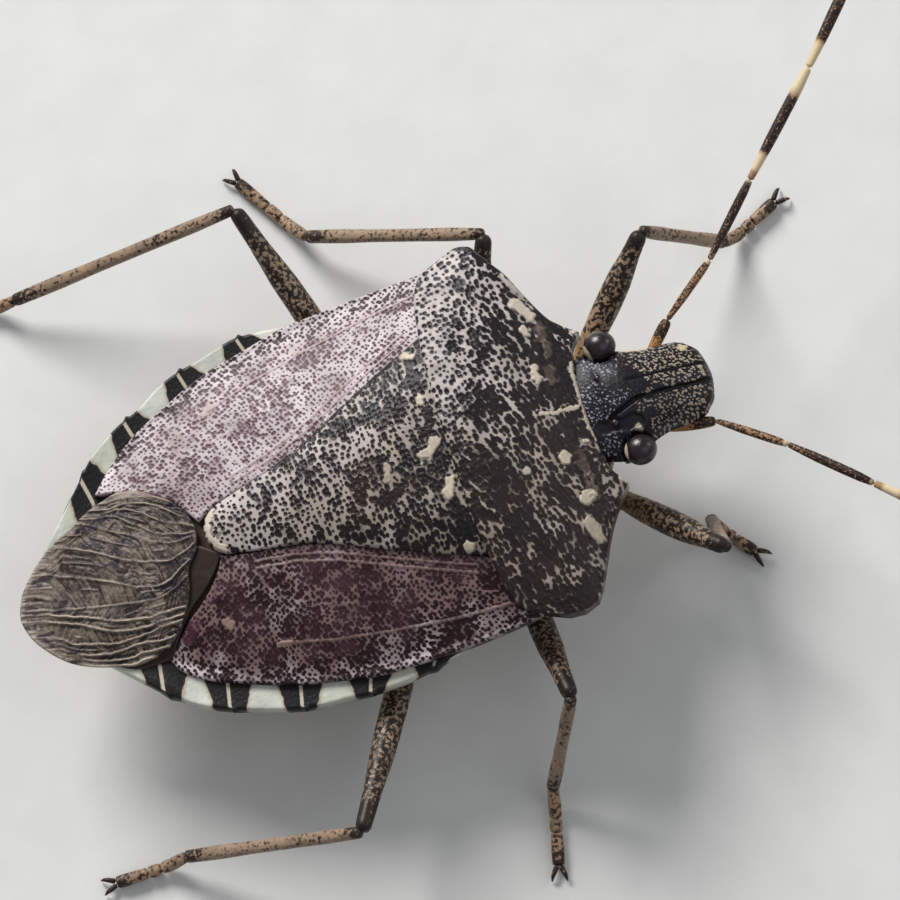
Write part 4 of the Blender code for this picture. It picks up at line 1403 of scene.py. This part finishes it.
@dataclass
class Trunk:
    """Thorax and belly in one skin, with the segments of the underside."""

    sides: int = 160
    rings: int = 260
    front: float = 5.45
    tail: float = -7.1
    segments: tuple[float, ...] = (0.3, -1.4, -2.86, -4.3, -5.55, -6.35)
    pleura: tuple[float, ...] = (3.35, 1.55)

    def build(self) -> None:
        """Makes the skin."""
        piece = Piece("trunk_skin", tube_bm(self.sides, self.rings))
        u, v, along = piece.points[:, 0], piece.points[:, 1], piece.points[:, 2]
        x = self.front + (self.tail - self.front) * along
        radius = np.clip(np.hypot(u, v), 1e-9, 1.0)
        cross = np.where(radius > 0.5, u / radius, u)
        lift = np.where(radius > 0.5, v / radius, v)
        half = body_half(x) * np.sqrt(np.clip(1 - (np.abs(along * 2 - 1)) ** 24, 0.02, 1))
        y = half * cross
        shield = smooth(1.9, 2.05, x)
        back_edge = (shield_top(x, half) - 0.62) * shield + (wing_top(x, half) - 0.5) * (1 - shield)
        belt = np.where(x > 0.6, back_edge - 0.1, np.minimum(rim_top(x) - 0.22, back_edge))
        back = (shield_top(x, y) - 0.3) * shield + (wing_top(x, y) - 0.2) * (1 - shield)
        upper = belt + (back - belt) * np.clip(np.abs(lift), 0, 1) ** 0.35
        lower = belly_height(x, y, belt)
        z = np.where(lift > 0, upper, lower)
        under = smooth(0.0, -0.15, lift)
        near = np.full(len(x), 9.0)
        for seam in self.segments:
            near = np.minimum(near, np.abs(x - seam + 0.25 * (y / half) ** 2))
        for seam in self.pleura:
            near = np.minimum(near, np.abs(x - seam - 0.3 * (y / half) ** 2))
        z = z + under * 0.08 * bell(near, 0.06)
        share = np.abs(y) / half
        spiracle = np.full(len(x), 9.0)
        for seam in self.segments[:-1]:
            spiracle = np.minimum(spiracle, np.hypot(x - seam + 0.75, np.abs(y) - 0.8 * half))
        halo, hollow = Grain(seed=401, spacing=0.2, radius=0.05, stretch=1.2, lean=(0.0, 1.0)).read(x, y, 1.0)
        z = z + under * 0.02 * hollow - under * 0.02 * noise(x, y, 0.4, 405)
        chest = smooth(0.9, 1.4, x)
        dots = smooth(0.25, 0.6, halo) * (0.35 + 0.65 * smooth(0.3, 0.8, share))
        ink = np.clip(dots * 0.75 + 0.45 * bell(near, 0.05) + chest * 0.12, 0, 1)
        ink = np.maximum(ink, 1 - smooth(0.05, 0.09, spiracle))
        ink = np.where(lift > 0, 0.9, ink)
        piece.lay(np.column_stack([x, y, z]), flip=True)
        tone = np.clip(0.4 + 0.4 * noise(x, y, 1.0, 411), 0, 1)
        piece.mask(ink=ink, pale=bell(spiracle - 0.11, 0.03) * 0.6 * under, tone=tone, gloom=0.3,
                   patch=0.0)
        piece.finish(Shelf.take(BELLY), "underside", "thorax", "abdomen")


@dataclass
class Head:
    """The head with its lobes, eyes and small upper eyes."""

    turn: float = math.radians(3.4)
    nape: float = 5.28
    brow: tuple[Pair, ...] = ((7.4, -0.8), (7.64, -0.55), (7.77, 0.0), (7.7, 0.5), (7.45, 0.8))
    cheek: tuple[Pair, ...] = (
        (7.45, 0.8), (7.25, 0.88), (6.95, 0.91), (6.6, 0.93), (6.2, 1.02), (5.75, 1.2), (5.45, 1.25),
        (4.95, 1.1),
    )
    eye_centre: Place = (5.75, 1.22, 3.68)
    eye_half: Place = (0.35, 0.33, 0.33)
    marks: tuple[Mark, ...] = (
        Mark(G, ((7.8, -0.18), (7.4, -0.22), (6.72, -0.2), (6.05, -0.2), (5.4, -0.4)), 0.045),
        Mark(G, ((7.8, 0.16), (7.2, 0.2), (6.5, 0.22), (6.0, 0.26)), 0.035, 0.5),
        Mark(P, ((7.42, 0.62), (7.38, 0.66)), 0.06, 0.9),
        Mark(P, ((6.64, 0.9), (6.33, 0.96), (6.1, 1.02)), 0.05, 0.9),
        Mark(P, ((5.87, -0.75), (5.9, -0.82)), 0.06, 0.6),
        Mark(P, ((7.6, 0.1), (7.62, -0.1)), 0.03, 0.5),
        # The dark patch on the head's right side, between the middle line and the right eye, has no twin on
        # the left: it is partly painted shade.
        Mark(D, ((5.15, -0.5), (5.5, -0.6), (5.95, -0.62)), 0.14),
    )

    def turned(self, places: Array) -> Array:
        """The places after the head's small turn to the left.

        Args:
            places: A row of x, y, z for each point.

        Returns:
            The turned places.
        """
        c, q = math.cos(self.turn), math.sin(self.turn)
        x, y = places[:, 0] - self.nape, places[:, 1]
        return np.column_stack([self.nape + c * x - q * y, q * x + c * y, places[:, 2]])

    def build(self) -> None:
        """Makes the head and what it carries."""
        self.skull()
        for sign, side in ((1, "left"), (-1, "right")):
            self.eye(sign, side)

    def skull(self) -> None:
        """The head's skin, above and below."""
        right_cheek = (self.brow[0], *mirrored(self.cheek[1:]))
        plan = Patch(self.brow, (right_cheek[-1], self.cheek[-1]), right_cheek, self.cheek)
        piece = Piece("head_skin", plate_bm(12, 12, 8, whole=True))
        s, t, layer = piece.points[:, 0] + 0.5, piece.points[:, 1] + 0.5, piece.points[:, 2]
        place = plan(s, t)
        x, y = place[:, 0], place[:, 1]
        share = 2 * s - 1
        cheek = Graph(*self.cheek)
        edge = head_edge(x)
        rear = smooth(5.6, 5.2, x)
        top = edge + (head_crest(x) - edge - 0.12 * rear) * dome(share, 2.4)
        low_edge = edge - 0.3
        low = low_edge + (throat(x) - low_edge) * dome(y / (cheek(x) + 0.02), 1.8)
        inset = np.minimum(np.minimum(s, 1 - s) * 2 * cheek(x), t * 2.5)
        rounding = 0.14 - np.sqrt(np.clip(0.14 ** 2 - np.clip(0.14 - inset, 0, 0.14) ** 2, 0, None))
        groove = paint(self.marks, G, x, y, 0.1)
        lobe = bell(y, 0.24) * smooth(5.9, 6.4, x) * 0.05
        halo, hollow = Grain(seed=501, spacing=0.07, radius=0.023, stretch=1.0, jitter=0.9).read(x, y, 1.0)
        pale = paint(self.marks, P, x, y, 0.5)
        dark = paint(self.marks, D, x, y)
        blotch = noise(x, y, 0.3, 505, 3)
        relief = 0.012 * hollow - 0.1 * groove + lobe + 0.03 * pale - 0.05 * dark
        upper = top - rounding + relief * smooth(0, 0.1, inset)
        lower = low + rounding
        bulge = 0.02 * (1 - (2 * layer - 1) ** 2)
        z = lower + (upper - lower) * layer
        y = y + np.sign(share) * bulge * smooth(0.9, 1.0, np.abs(share))
        x = x + bulge * smooth(0.1, 0.0, t)
        hollow_eye = np.zeros(len(x))
        for sign in (1, -1):
            gap = np.hypot((x - self.eye_centre[0]) / 0.4, (y - sign * self.eye_centre[1]) / 0.38)
            hollow_eye = np.maximum(hollow_eye, 1 - smooth(0.9, 1.05, gap))
        z = np.where(layer > 0.5, z - 0.25 * hollow_eye, z)
        front = smooth(5.9, 6.9, x) * smooth(7.72, 7.4, x)
        low_halo, _ = Grain(seed=521, spacing=0.15, radius=0.045, stretch=1.0).read(x, y, 1.0)
        share_of_specks = 0.3 + 0.4 * front + 0.4 * blotch - 1.2 * dark - 1.2 * groove
        specks = halo * smooth(-0.1, 0.5, share_of_specks) * (0.72 + 0.28 * front)
        ink = 1 - specks
        ink = np.where(layer > 0.5, ink, np.clip(0.1 + 0.6 * smooth(0.3, 0.6, low_halo), 0, 1))
        ink = ink * (1 - 0.9 * pale * (layer > 0.5))
        piece.lay(self.turned(np.column_stack([x, y, z])))
        bluish = smooth(6.3, 5.5, x) * (layer > 0.5)
        piece.mask(ink=ink, pale=pale * 0.7 * (layer > 0.5), tone=np.clip(bluish + 0.3 * blotch, 0, 1),
                   gloom=np.clip(0.5 * bluish + 0.3 * blotch, 0, 1), patch=0.0)
        piece.finish(Shelf.take(HEAD), "dark_head", "head")

    def eye(self, sign: int, side: str) -> None:
        """One large eye and its small upper one.

        Args:
            sign: 1 for the left side and -1 for the right one.
            side: The side's name.
        """
        centre = np.array(self.eye_centre) * (1, sign, 1)
        bm = bmesh.new()
        bmesh.ops.create_uvsphere(bm, u_segments=64, v_segments=40, radius=1.0)
        ball = Piece(f"eye_{side}_glass", bm)
        unit = ball.points.copy()
        ball.lay(self.turned(centre + unit * self.eye_half))
        ball.mask(pale=smooth(-0.72, -0.92, unit[:, 0] + 0.2 * sign * unit[:, 1]))
        ball.finish(Shelf.take(EyeGlass()), "eye", f"eye_{side}")
        bm = bmesh.new()
        bmesh.ops.create_uvsphere(bm, u_segments=24, v_segments=16, radius=0.09)
        small = Piece(f"ocellus_{side}", bm)
        small.lay(self.turned(small.points + (5.45, 0.52 * sign, 3.86)))
        small.mask(pale=0.0)
        small.finish(Shelf.take(EyeGlass()), "eye", "head")


class Tube:
    """A limb piece along a smooth path."""

    def __init__(self, name: str, points: Sequence[Sequence[float]], radii: Sequence[float],
                 sides: int = 24, rings: int = 40, round_ends: float = 0.6) -> None:
        """Lays the tube along the path.

        Args:
            name: The piece's name.
            points: The path's points in millimetres.
            radii: Radii at even steps along it.
            sides: Faces round it.
            rings: Faces along it.
            round_ends: How long the rounded ends are, as a share of the end's radius.
        """
        self.piece = Piece(name, tube_bm(sides, rings))
        self.u, self.v, along = self.piece.points.T
        ring = np.rint(along * rings).astype(int)
        path = Path(points)
        stations = np.linspace(0.0, 1.0, rings + 1)
        stations = 0.65 * stations + 0.35 * (0.5 - 0.5 * np.cos(np.pi * stations))
        radius = Graph(*zip(np.linspace(0, 1, len(radii)), radii))(stations)
        for end, distance in ((0, stations * path.length), (-1, (1 - stations) * path.length)):
            reach = max(radii[end] * round_ends, 1e-4)
            short = np.clip(1 - distance / reach, 0.0, 1.0)
            radius = radius * np.sqrt(np.clip(1 - short ** 2, 0.02, 1.0))
        centres = path(stations)
        heads = np.gradient(centres, axis=0)
        heads /= np.linalg.norm(heads, axis=1)[:, None]
        side = np.cross(heads[0], (0.0, 0.0, 1.0))
        if np.linalg.norm(side) < 0.1:
            side = np.cross(heads[0], (1.0, 0.0, 0.0))
        sides_along = []
        for head in heads:
            side = side - head * np.dot(side, head)
            side /= np.linalg.norm(side)
            sides_along.append(side)
        self.along = stations[ring]
        self.angle = np.arctan2(self.v, self.u)
        self.centres, self.radius = centres[ring], radius[ring]
        self.across = np.array(sides_along)[ring]
        self.rise = np.cross(self.across, heads[ring])
        self.length = path.length

    def lay(self, swell: Union[Array, float] = 1.0) -> Piece:
        """Places the points, with the radius multiplied by a swelling.

        Args:
            swell: One number, or one for each point.

        Returns:
            The piece.
        """
        reach = (self.radius * swell)[:, None]
        places = self.centres + reach * (self.u[:, None] * self.across + self.v[:, None] * self.rise)
        self.piece.lay(places)
        return self.piece


@dataclass
class Leg:
    """One leg: the thigh with its root, the shin, the three-jointed foot and its claws."""

    name: str
    root: Pair
    knee: Place
    ankle: Place
    toe: Pair
    thigh: float = 0.29
    shin: float = 0.155
    foot: float = 0.14
    toe_height: float = 0.16
    landing_height: float = 0.2
    claw_height: float = 0.17
    claw_tip: float = 0.045

    def build(self) -> None:
        """Makes the leg's pieces."""
        knee, ankle = np.array(self.knee), np.array(self.ankle)
        root = np.array([*self.root, breast_height(*self.root) - 0.45])
        ahead = knee - root
        hip = root + ahead / np.linalg.norm(ahead) * 0.5
        hip[2] = root[2] - 0.1
        self.make_thigh(root, hip, knee)
        self.make_shin(knee, ankle)
        self.make_foot(ankle, np.array([*self.toe, self.toe_height]))

    def make_thigh(self, root: Array, hip: Array, knee: Array) -> None:
        """The coxa, the trochanter and the thigh.

        Args:
            root: Where the leg grows from the thorax.
            hip: The joint of thigh and coxa.
            knee: The knee.
        """
        above = root + (0.0, 0.0, 0.45)
        coxa = Tube(f"coxa_{self.name}", (above, root, hip), (0.4, 0.4, 0.33, 0.24), rings=24)
        piece = coxa.lay()
        piece.mask(ink=0.3, pale=0.0, tone=0.3, gloom=0.4, patch=0.0)
        piece.finish(Shelf.take(LEG), "leg", f"femur_{self.name}")
        middle = hip + (knee - hip) * 0.5 - (0.0, 0.0, 0.12)
        radii = (0.17, 0.22, self.thigh * 0.92, self.thigh, self.thigh * 0.95, 0.21, 0.17)
        thigh = Tube(f"thigh_{self.name}", (hip, middle, knee), radii, rings=60, round_ends=1.0)
        along, angle = thigh.along, thigh.angle
        lumps = 1 + 0.02 * noise(along * 20, angle * 1.5, 1.0, 601)
        piece = thigh.lay(lumps)
        tip = smooth(0.86, 0.96, along)
        ink = 0.36 + 0.24 * smooth(0.2, 0.6, along) + 0.5 * tip
        piece.mask(ink=np.clip(ink, 0, 1), pale=0.0,
                   tone=0.2 + 0.6 * smooth(0.1, 0.6, along) + 0.1 * np.sin(angle), gloom=0.3, patch=0.0)
        piece.finish(Shelf.take(LEG), "leg", f"femur_{self.name}")

    def make_shin(self, knee: Array, ankle: Array) -> None:
        """The shin, with grooves along it.

        Args:
            knee: The knee.
            ankle: The foot's joint.
        """
        shape = self.shin
        radii = (shape * 0.8, shape, shape * 0.95, shape * 0.95, shape * 1.05, shape * 0.95)
        shin = Tube(f"shin_{self.name}", (knee, ankle), radii, rings=70)
        flute = 1 - 0.07 * (0.5 + 0.5 * np.cos(4 * shin.angle)) * smooth(0.04, 0.12, shin.along)
        piece = shin.lay(flute)
        along = shin.along
        ink = 0.26 + 0.6 * smooth(0.12, 0.0, along) + 0.5 * smooth(0.8, 0.98, along)
        ink = ink + 0.14 * bell(along - 0.33, 0.08)
        piece.mask(ink=np.clip(ink, 0, 1), pale=0.0, tone=0.9, gloom=0.6, patch=0.0)
        piece.finish(Shelf.take(LEG), "leg", f"tibia_{self.name}")

    def make_foot(self, ankle: Array, toe: Array) -> None:
        """The foot's three joints and two claws.

        Args:
            ankle: The foot's joint.
            toe: The end of the last joint, just above the floor.
        """
        landing = ankle + (toe - ankle) * 0.35
        landing[2] = self.landing_height
        path = Path((ankle, landing, toe))
        stops = (0.0, 0.42, 0.6, 1.0)
        for number, (start, end) in enumerate(zip(stops, stops[1:])):
            points = path(np.linspace(start, end, 4))
            wide = self.foot
            radii = (wide * 0.86, wide * 0.96, wide, wide * 0.9)
            joint = Tube(f"foot_{self.name}_{number + 1}", points, radii, rings=24, round_ends=0.35)
            piece = joint.lay()
            ink = 0.38 + (0.45 * smooth(0.3, 1.0, joint.along) if number == 2 else 0.0)
            piece.mask(ink=ink, pale=0.0, tone=0.6, gloom=0.7, patch=0.0)
            piece.finish(Shelf.take(LEG), "leg", f"tarsus_{self.name}")
        ahead = (toe - landing) / np.linalg.norm(toe - landing)
        aside = np.cross(ahead, (0.0, 0.0, 1.0))
        for sign in (-1, 1):
            tip = toe + ahead * 0.32 + aside * sign * 0.17
            middle = toe + ahead * 0.2 + aside * sign * 0.13
            middle[2], tip[2] = self.claw_height, self.claw_tip
            claw = Tube(f"claw_{self.name}_{'l' if sign > 0 else 'r'}",
                        (toe + aside * sign * 0.04, middle, tip), (0.06, 0.055, 0.04, 0.012), 12, 16)
            piece = claw.lay()
            piece.mask(ink=0.85, pale=0.0, tone=0.5, gloom=0.8 - 0.6 * claw.along, patch=0.0)
            piece.finish(Shelf.take(LEG), "leg", f"tarsus_{self.name}")


@dataclass
class Feeler:
    """One feeler of five joints with its banded colours."""

    side: str
    joints: tuple[Place, ...]
    radii: tuple[float, ...] = (0.125, 0.088, 0.098, 0.12, 0.125)

    def build(self) -> None:
        """Makes the joints."""
        for number, (start, end) in enumerate(zip(self.joints, self.joints[1:])):
            start, end = np.array(start), np.array(end)
            size = self.radii[number]
            radii = (size * 0.62, size * 0.85, size, size * 1.03, size, size * 0.72)
            joint = Tube(f"feeler_{self.side}_{number + 1}", (start, (start + end) / 2, end), radii,
                         rings=56 if number else 24)
            along, angle = joint.along, joint.angle
            piece = joint.lay(1 + 0.015 * noise(along * 30, angle * 2, 1.0, 701 + number))
            piece.mask(**self.bands(number, along, angle))
            piece.finish(Shelf.take(FEELER), "feeler", f"antenna_{self.side}")

    def bands(self, number: int, along: Array, angle: Array) -> dict[str, Array]:
        """The colours along one joint.

        Args:
            number: Which joint, from the head.
            along: Shares along it.
            angle: Angles round it.

        Returns:
            The masks.
        """
        zero = 0 * along
        above = smooth(-0.3, 0.6, np.sin(angle))
        if number == 0:
            ink, pale = 0.2 * smooth(0.0, 0.4, along) + 0.5 * above * smooth(0.3, 0.6, along), zero
        elif number == 1:
            ink, pale = 0.4 + 0.12 * above, 0.8 * smooth(0.92, 0.96, along)
        elif number == 2:
            ink, pale = 0.74 - 0.25 * smooth(0.3, 0.0, along), 0.5 * smooth(0.95, 0.98, along)
        elif number == 3:
            band = smooth(0.06, 0.1, along) * smooth(0.25, 0.2, along)
            ink = 0.75 * smooth(0.2, 0.26, along) * smooth(0.8, 0.7, along)
            pale = 0.9 * np.maximum(band, smooth(0.72, 0.82, along))
        else:
            ink, pale = 0.75 * smooth(0.2, 0.28, along), 0.9 * smooth(0.26, 0.2, along)
        tone = (0.0 if number in (0, 4) else 0.8) + zero
        return {"ink": ink, "pale": pale, "tone": tone, "gloom": 0.4 + zero, "patch": zero}


@dataclass
class Beak:
    """The jointed beak, folded back under the head between the leg roots."""

    points: tuple[Place, ...] = ((6.9, 0.0, 2.3), (6.5, 0.0, 1.8), (6.1, 0.0, 1.6), (5.2, 0.0, 1.36),
                                 (3.6, 0.0, 1.24), (1.5, 0.0, 1.2))
    radii: tuple[float, ...] = (0.2, 0.24, 0.2, 0.19, 0.17, 0.15, 0.14, 0.12, 0.09, 0.04)

    def build(self) -> None:
        """Makes the beak."""
        beak = Tube("beak_sheath", self.points, self.radii, rings=110)
        joints = sum(bell(beak.along - place, 0.008) for place in (0.28, 0.52, 0.76))
        groove = 0.2 * bell(beak.angle + math.pi / 2, 0.2)
        piece = beak.lay(1 - 0.16 * joints - groove)
        ink = np.clip(0.15 + 0.75 * smooth(0.9, 0.97, beak.along) + 0.35 * joints, 0, 1)
        piece.mask(ink=ink, pale=0.0, tone=0.4, gloom=0.5, patch=0.0)
        piece.finish(Shelf.take(LEG), "leg", "beak")


@dataclass
class Studio:
    """Pale floor, soft light and the camera at the photograph's viewing angle."""

    target: Place = (1.97, 0.27, 3.0)
    distance: float = 120.0
    lean: float = math.radians(15.0)
    roll: float = math.radians(17.9)
    scale: float = 46.8
    frame_width: int = 900
    sensor: float = 36.0
    floor_half: float = 1.5
    sky: float = 0.32

    def axes(self) -> tuple[Vector, Vector, Vector]:
        """Finds the camera's directions.

        Returns:
            Its right, up and backward directions.
        """
        back = Vector((0.0, -math.sin(self.lean), math.cos(self.lean)))
        level = Vector((1.0, 0.0, 0.0))
        rise = back.cross(level)
        right = level * math.cos(self.roll) - rise * math.sin(self.roll)
        up = level * math.sin(self.roll) + rise * math.cos(self.roll)
        return right, up, back

    def row_place(self, place: Vector) -> Vector:
        """A place of the bug's frame in the CAD frame, in metres."""
        return (place - Vector(SHIFT)) * MM

    def pose(self, where: Vector, right: Vector, up: Vector, back: Vector) -> Matrix:
        """The matrix of something that looks along minus back from where it stands.

        Args:
            where: Where it stands on the bug's frame.
            right: Its right direction.
            up: Its upward direction.
            back: Its backward direction.

        Returns:
            The matrix in the CAD frame.
        """
        turn = Matrix((right, up, back)).transposed().to_4x4()
        return Matrix.Translation(self.row_place(where)) @ turn

    def light(self, name: str, away: Vector, far: float, size: float, power: float, tint: Colour) -> None:
        """Adds a soft light that looks at the bug.

        Args:
            name: The light's name.
            away: The direction to it from the bug.
            far: How far it stands in millimetres.
            size: Its width in millimetres.
            power: Its power in watts.
            tint: Its colour.
        """
        lamp = bpy.data.lights.new(name, "AREA")
        lamp.shape, lamp.size, lamp.energy, lamp.color = "DISK", size * MM, power, tint
        stand = bpy.data.objects.new(name, lamp)
        bpy.context.scene.collection.objects.link(stand)
        away = away.normalized()
        right = Vector((0.0, 1.0, 0.0)).cross(away).normalized()
        where = Vector(self.target) + away * far
        stand.matrix_world = self.pose(where, right, away.cross(right), away)

    def build(self) -> None:
        """Sets up the floor, lights, world and camera."""
        right, up, back = self.axes()
        bm = bmesh.new()
        bmesh.ops.create_grid(bm, x_segments=1, y_segments=1, size=self.floor_half)
        mesh = bpy.data.meshes.new("floor")
        bm.to_mesh(mesh)
        bm.free()
        floor = bpy.data.objects.new("floor", mesh)
        bpy.context.scene.collection.objects.link(floor)
        mesh.materials.append(Shelf.take(Backdrop()))
        self.light("key", Vector((-0.2, 0.8, 0.58)), 300.0, 150.0, 1.3, (1.0, 0.985, 0.965))
        self.light("fill", back * 0.9 + right * 0.5, 320.0, 260.0, 0.16, (0.92, 0.95, 1.0))
        self.light("edge", Vector((1.0, 0.2, 0.5)), 320.0, 120.0, 0.14, (1.0, 1.0, 1.0))
        world = bpy.data.worlds.new("studio")
        world.use_nodes = True
        world.node_tree.nodes["Background"].inputs["Color"].default_value = (0.93, 0.96, 1.0, 1.0)
        world.node_tree.nodes["Background"].inputs["Strength"].default_value = self.sky
        scene = bpy.context.scene
        scene.world = world
        scene.view_settings.view_transform = "Standard"
        lens = bpy.data.cameras.new("camera")
        lens.sensor_width = self.sensor
        lens.lens = self.sensor * self.scale * self.distance / self.frame_width
        lens.clip_start, lens.clip_end = 0.005, 5.0
        camera = bpy.data.objects.new("camera", lens)
        scene.collection.objects.link(camera)
        where = Vector(self.target) + back * self.distance
        camera.matrix_world = self.pose(where, right, up, back)
        scene.camera = camera


def bug_parts() -> list["Part"]:
    """The sub-assemblies in the order in which they are built.

    Returns:
        The parts, from the trunk to the feelers.
    """
    left_outer = (
        (1.2, 3.9), (0.3, 4.02), (-0.57, 4.08), (-1.14, 4.16), (-1.68, 4.2), (-2.25, 4.09), (-2.67, 3.98),
        (-3.2, 3.86), (-3.65, 3.68), (-4.19, 3.36), (-4.66, 3.17), (-5.06, 2.94), (-5.43, 2.67),
        (-5.8, 2.28), (-6.15, 1.9), (-6.43, 1.6), (-7.0, 1.0),
    )
    right_outer = (
        (1.2, 4.0), (0.3, 4.2), (-0.58, 4.3), (-1.14, 4.3), (-1.74, 4.24), (-2.31, 4.2), (-2.75, 4.12),
        (-3.23, 3.98), (-3.75, 3.8), (-4.2, 3.64), (-4.77, 3.36), (-5.3, 2.95), (-5.75, 2.5),
        (-6.3, 1.95), (-7.0, 1.1),
    )
    legs = {
        "fore_left": ((4.6, 1.0), (7.32, 3.56, 3.15), (9.1, 3.48, 0.62), (10.45, 4.15)),
        "fore_right": ((4.6, -0.9), (6.89, -3.69, 3.3), (6.89, -2.38, 0.62), (7.6, -3.25)),
        "mid_left": ((2.5, 1.15), (4.1, 4.66, 2.9), (0.4, 6.55, 0.62), (-0.7, 8.4)),
        "mid_right": ((2.5, -1.15), (2.8, -5.74, 3.3), (1.84, -6.94, 0.62), (1.45, -8.5)),
        "hind_left": ((0.98, 1.15), (-0.88, 6.87, 3.1), (-6.2, 7.22, 0.62), (-7.95, 7.5)),
        "hind_right": ((0.98, -1.15), (-2.26, -7.08, 3.1), (-6.12, -5.9, 0.62), (-7.75, -5.88)),
    }
    parts = [Trunk(), Pronotum(), Scutellum(), Forewing("left"), Forewing("right"), Membrane(), Head(),
             Beak()]
    parts.append(Rim("left", left_outer, (-0.2, -1.65, -3.08, -4.49, -5.74)))
    parts.append(Rim("right", right_outer, (0.25, -1.17, -2.64, -4.11, -5.35)))
    parts += [Leg(name, *sizes) for name, sizes in legs.items()]
    parts.append(Feeler("left", (
        (6.62, 0.88, 2.98), (7.26, 1.5, 3.15), (8.5, 2.38, 3.5), (9.84, 3.68, 3.9), (11.78, 5.55, 4.3),
        (13.5, 7.4, 4.5),
    )))
    parts.append(Feeler("right", (
        (6.5, -0.72, 2.92), (7.56, -0.92, 3.0), (8.84, -1.95, 3.2), (10.27, -3.4, 3.5),
        (12.25, -5.33, 3.8), (14.0, -7.05, 4.0),
    )))
    return parts


def main() -> None:
    """Builds the bug and its studio."""
    logging.basicConfig(level=logging.INFO, format="%(name)s %(message)s")
    for part in bug_parts():
        part.build()
        LOG.info("%s done", type(part).__name__)
    Studio().build()


if __name__ == "__main__":
    main()
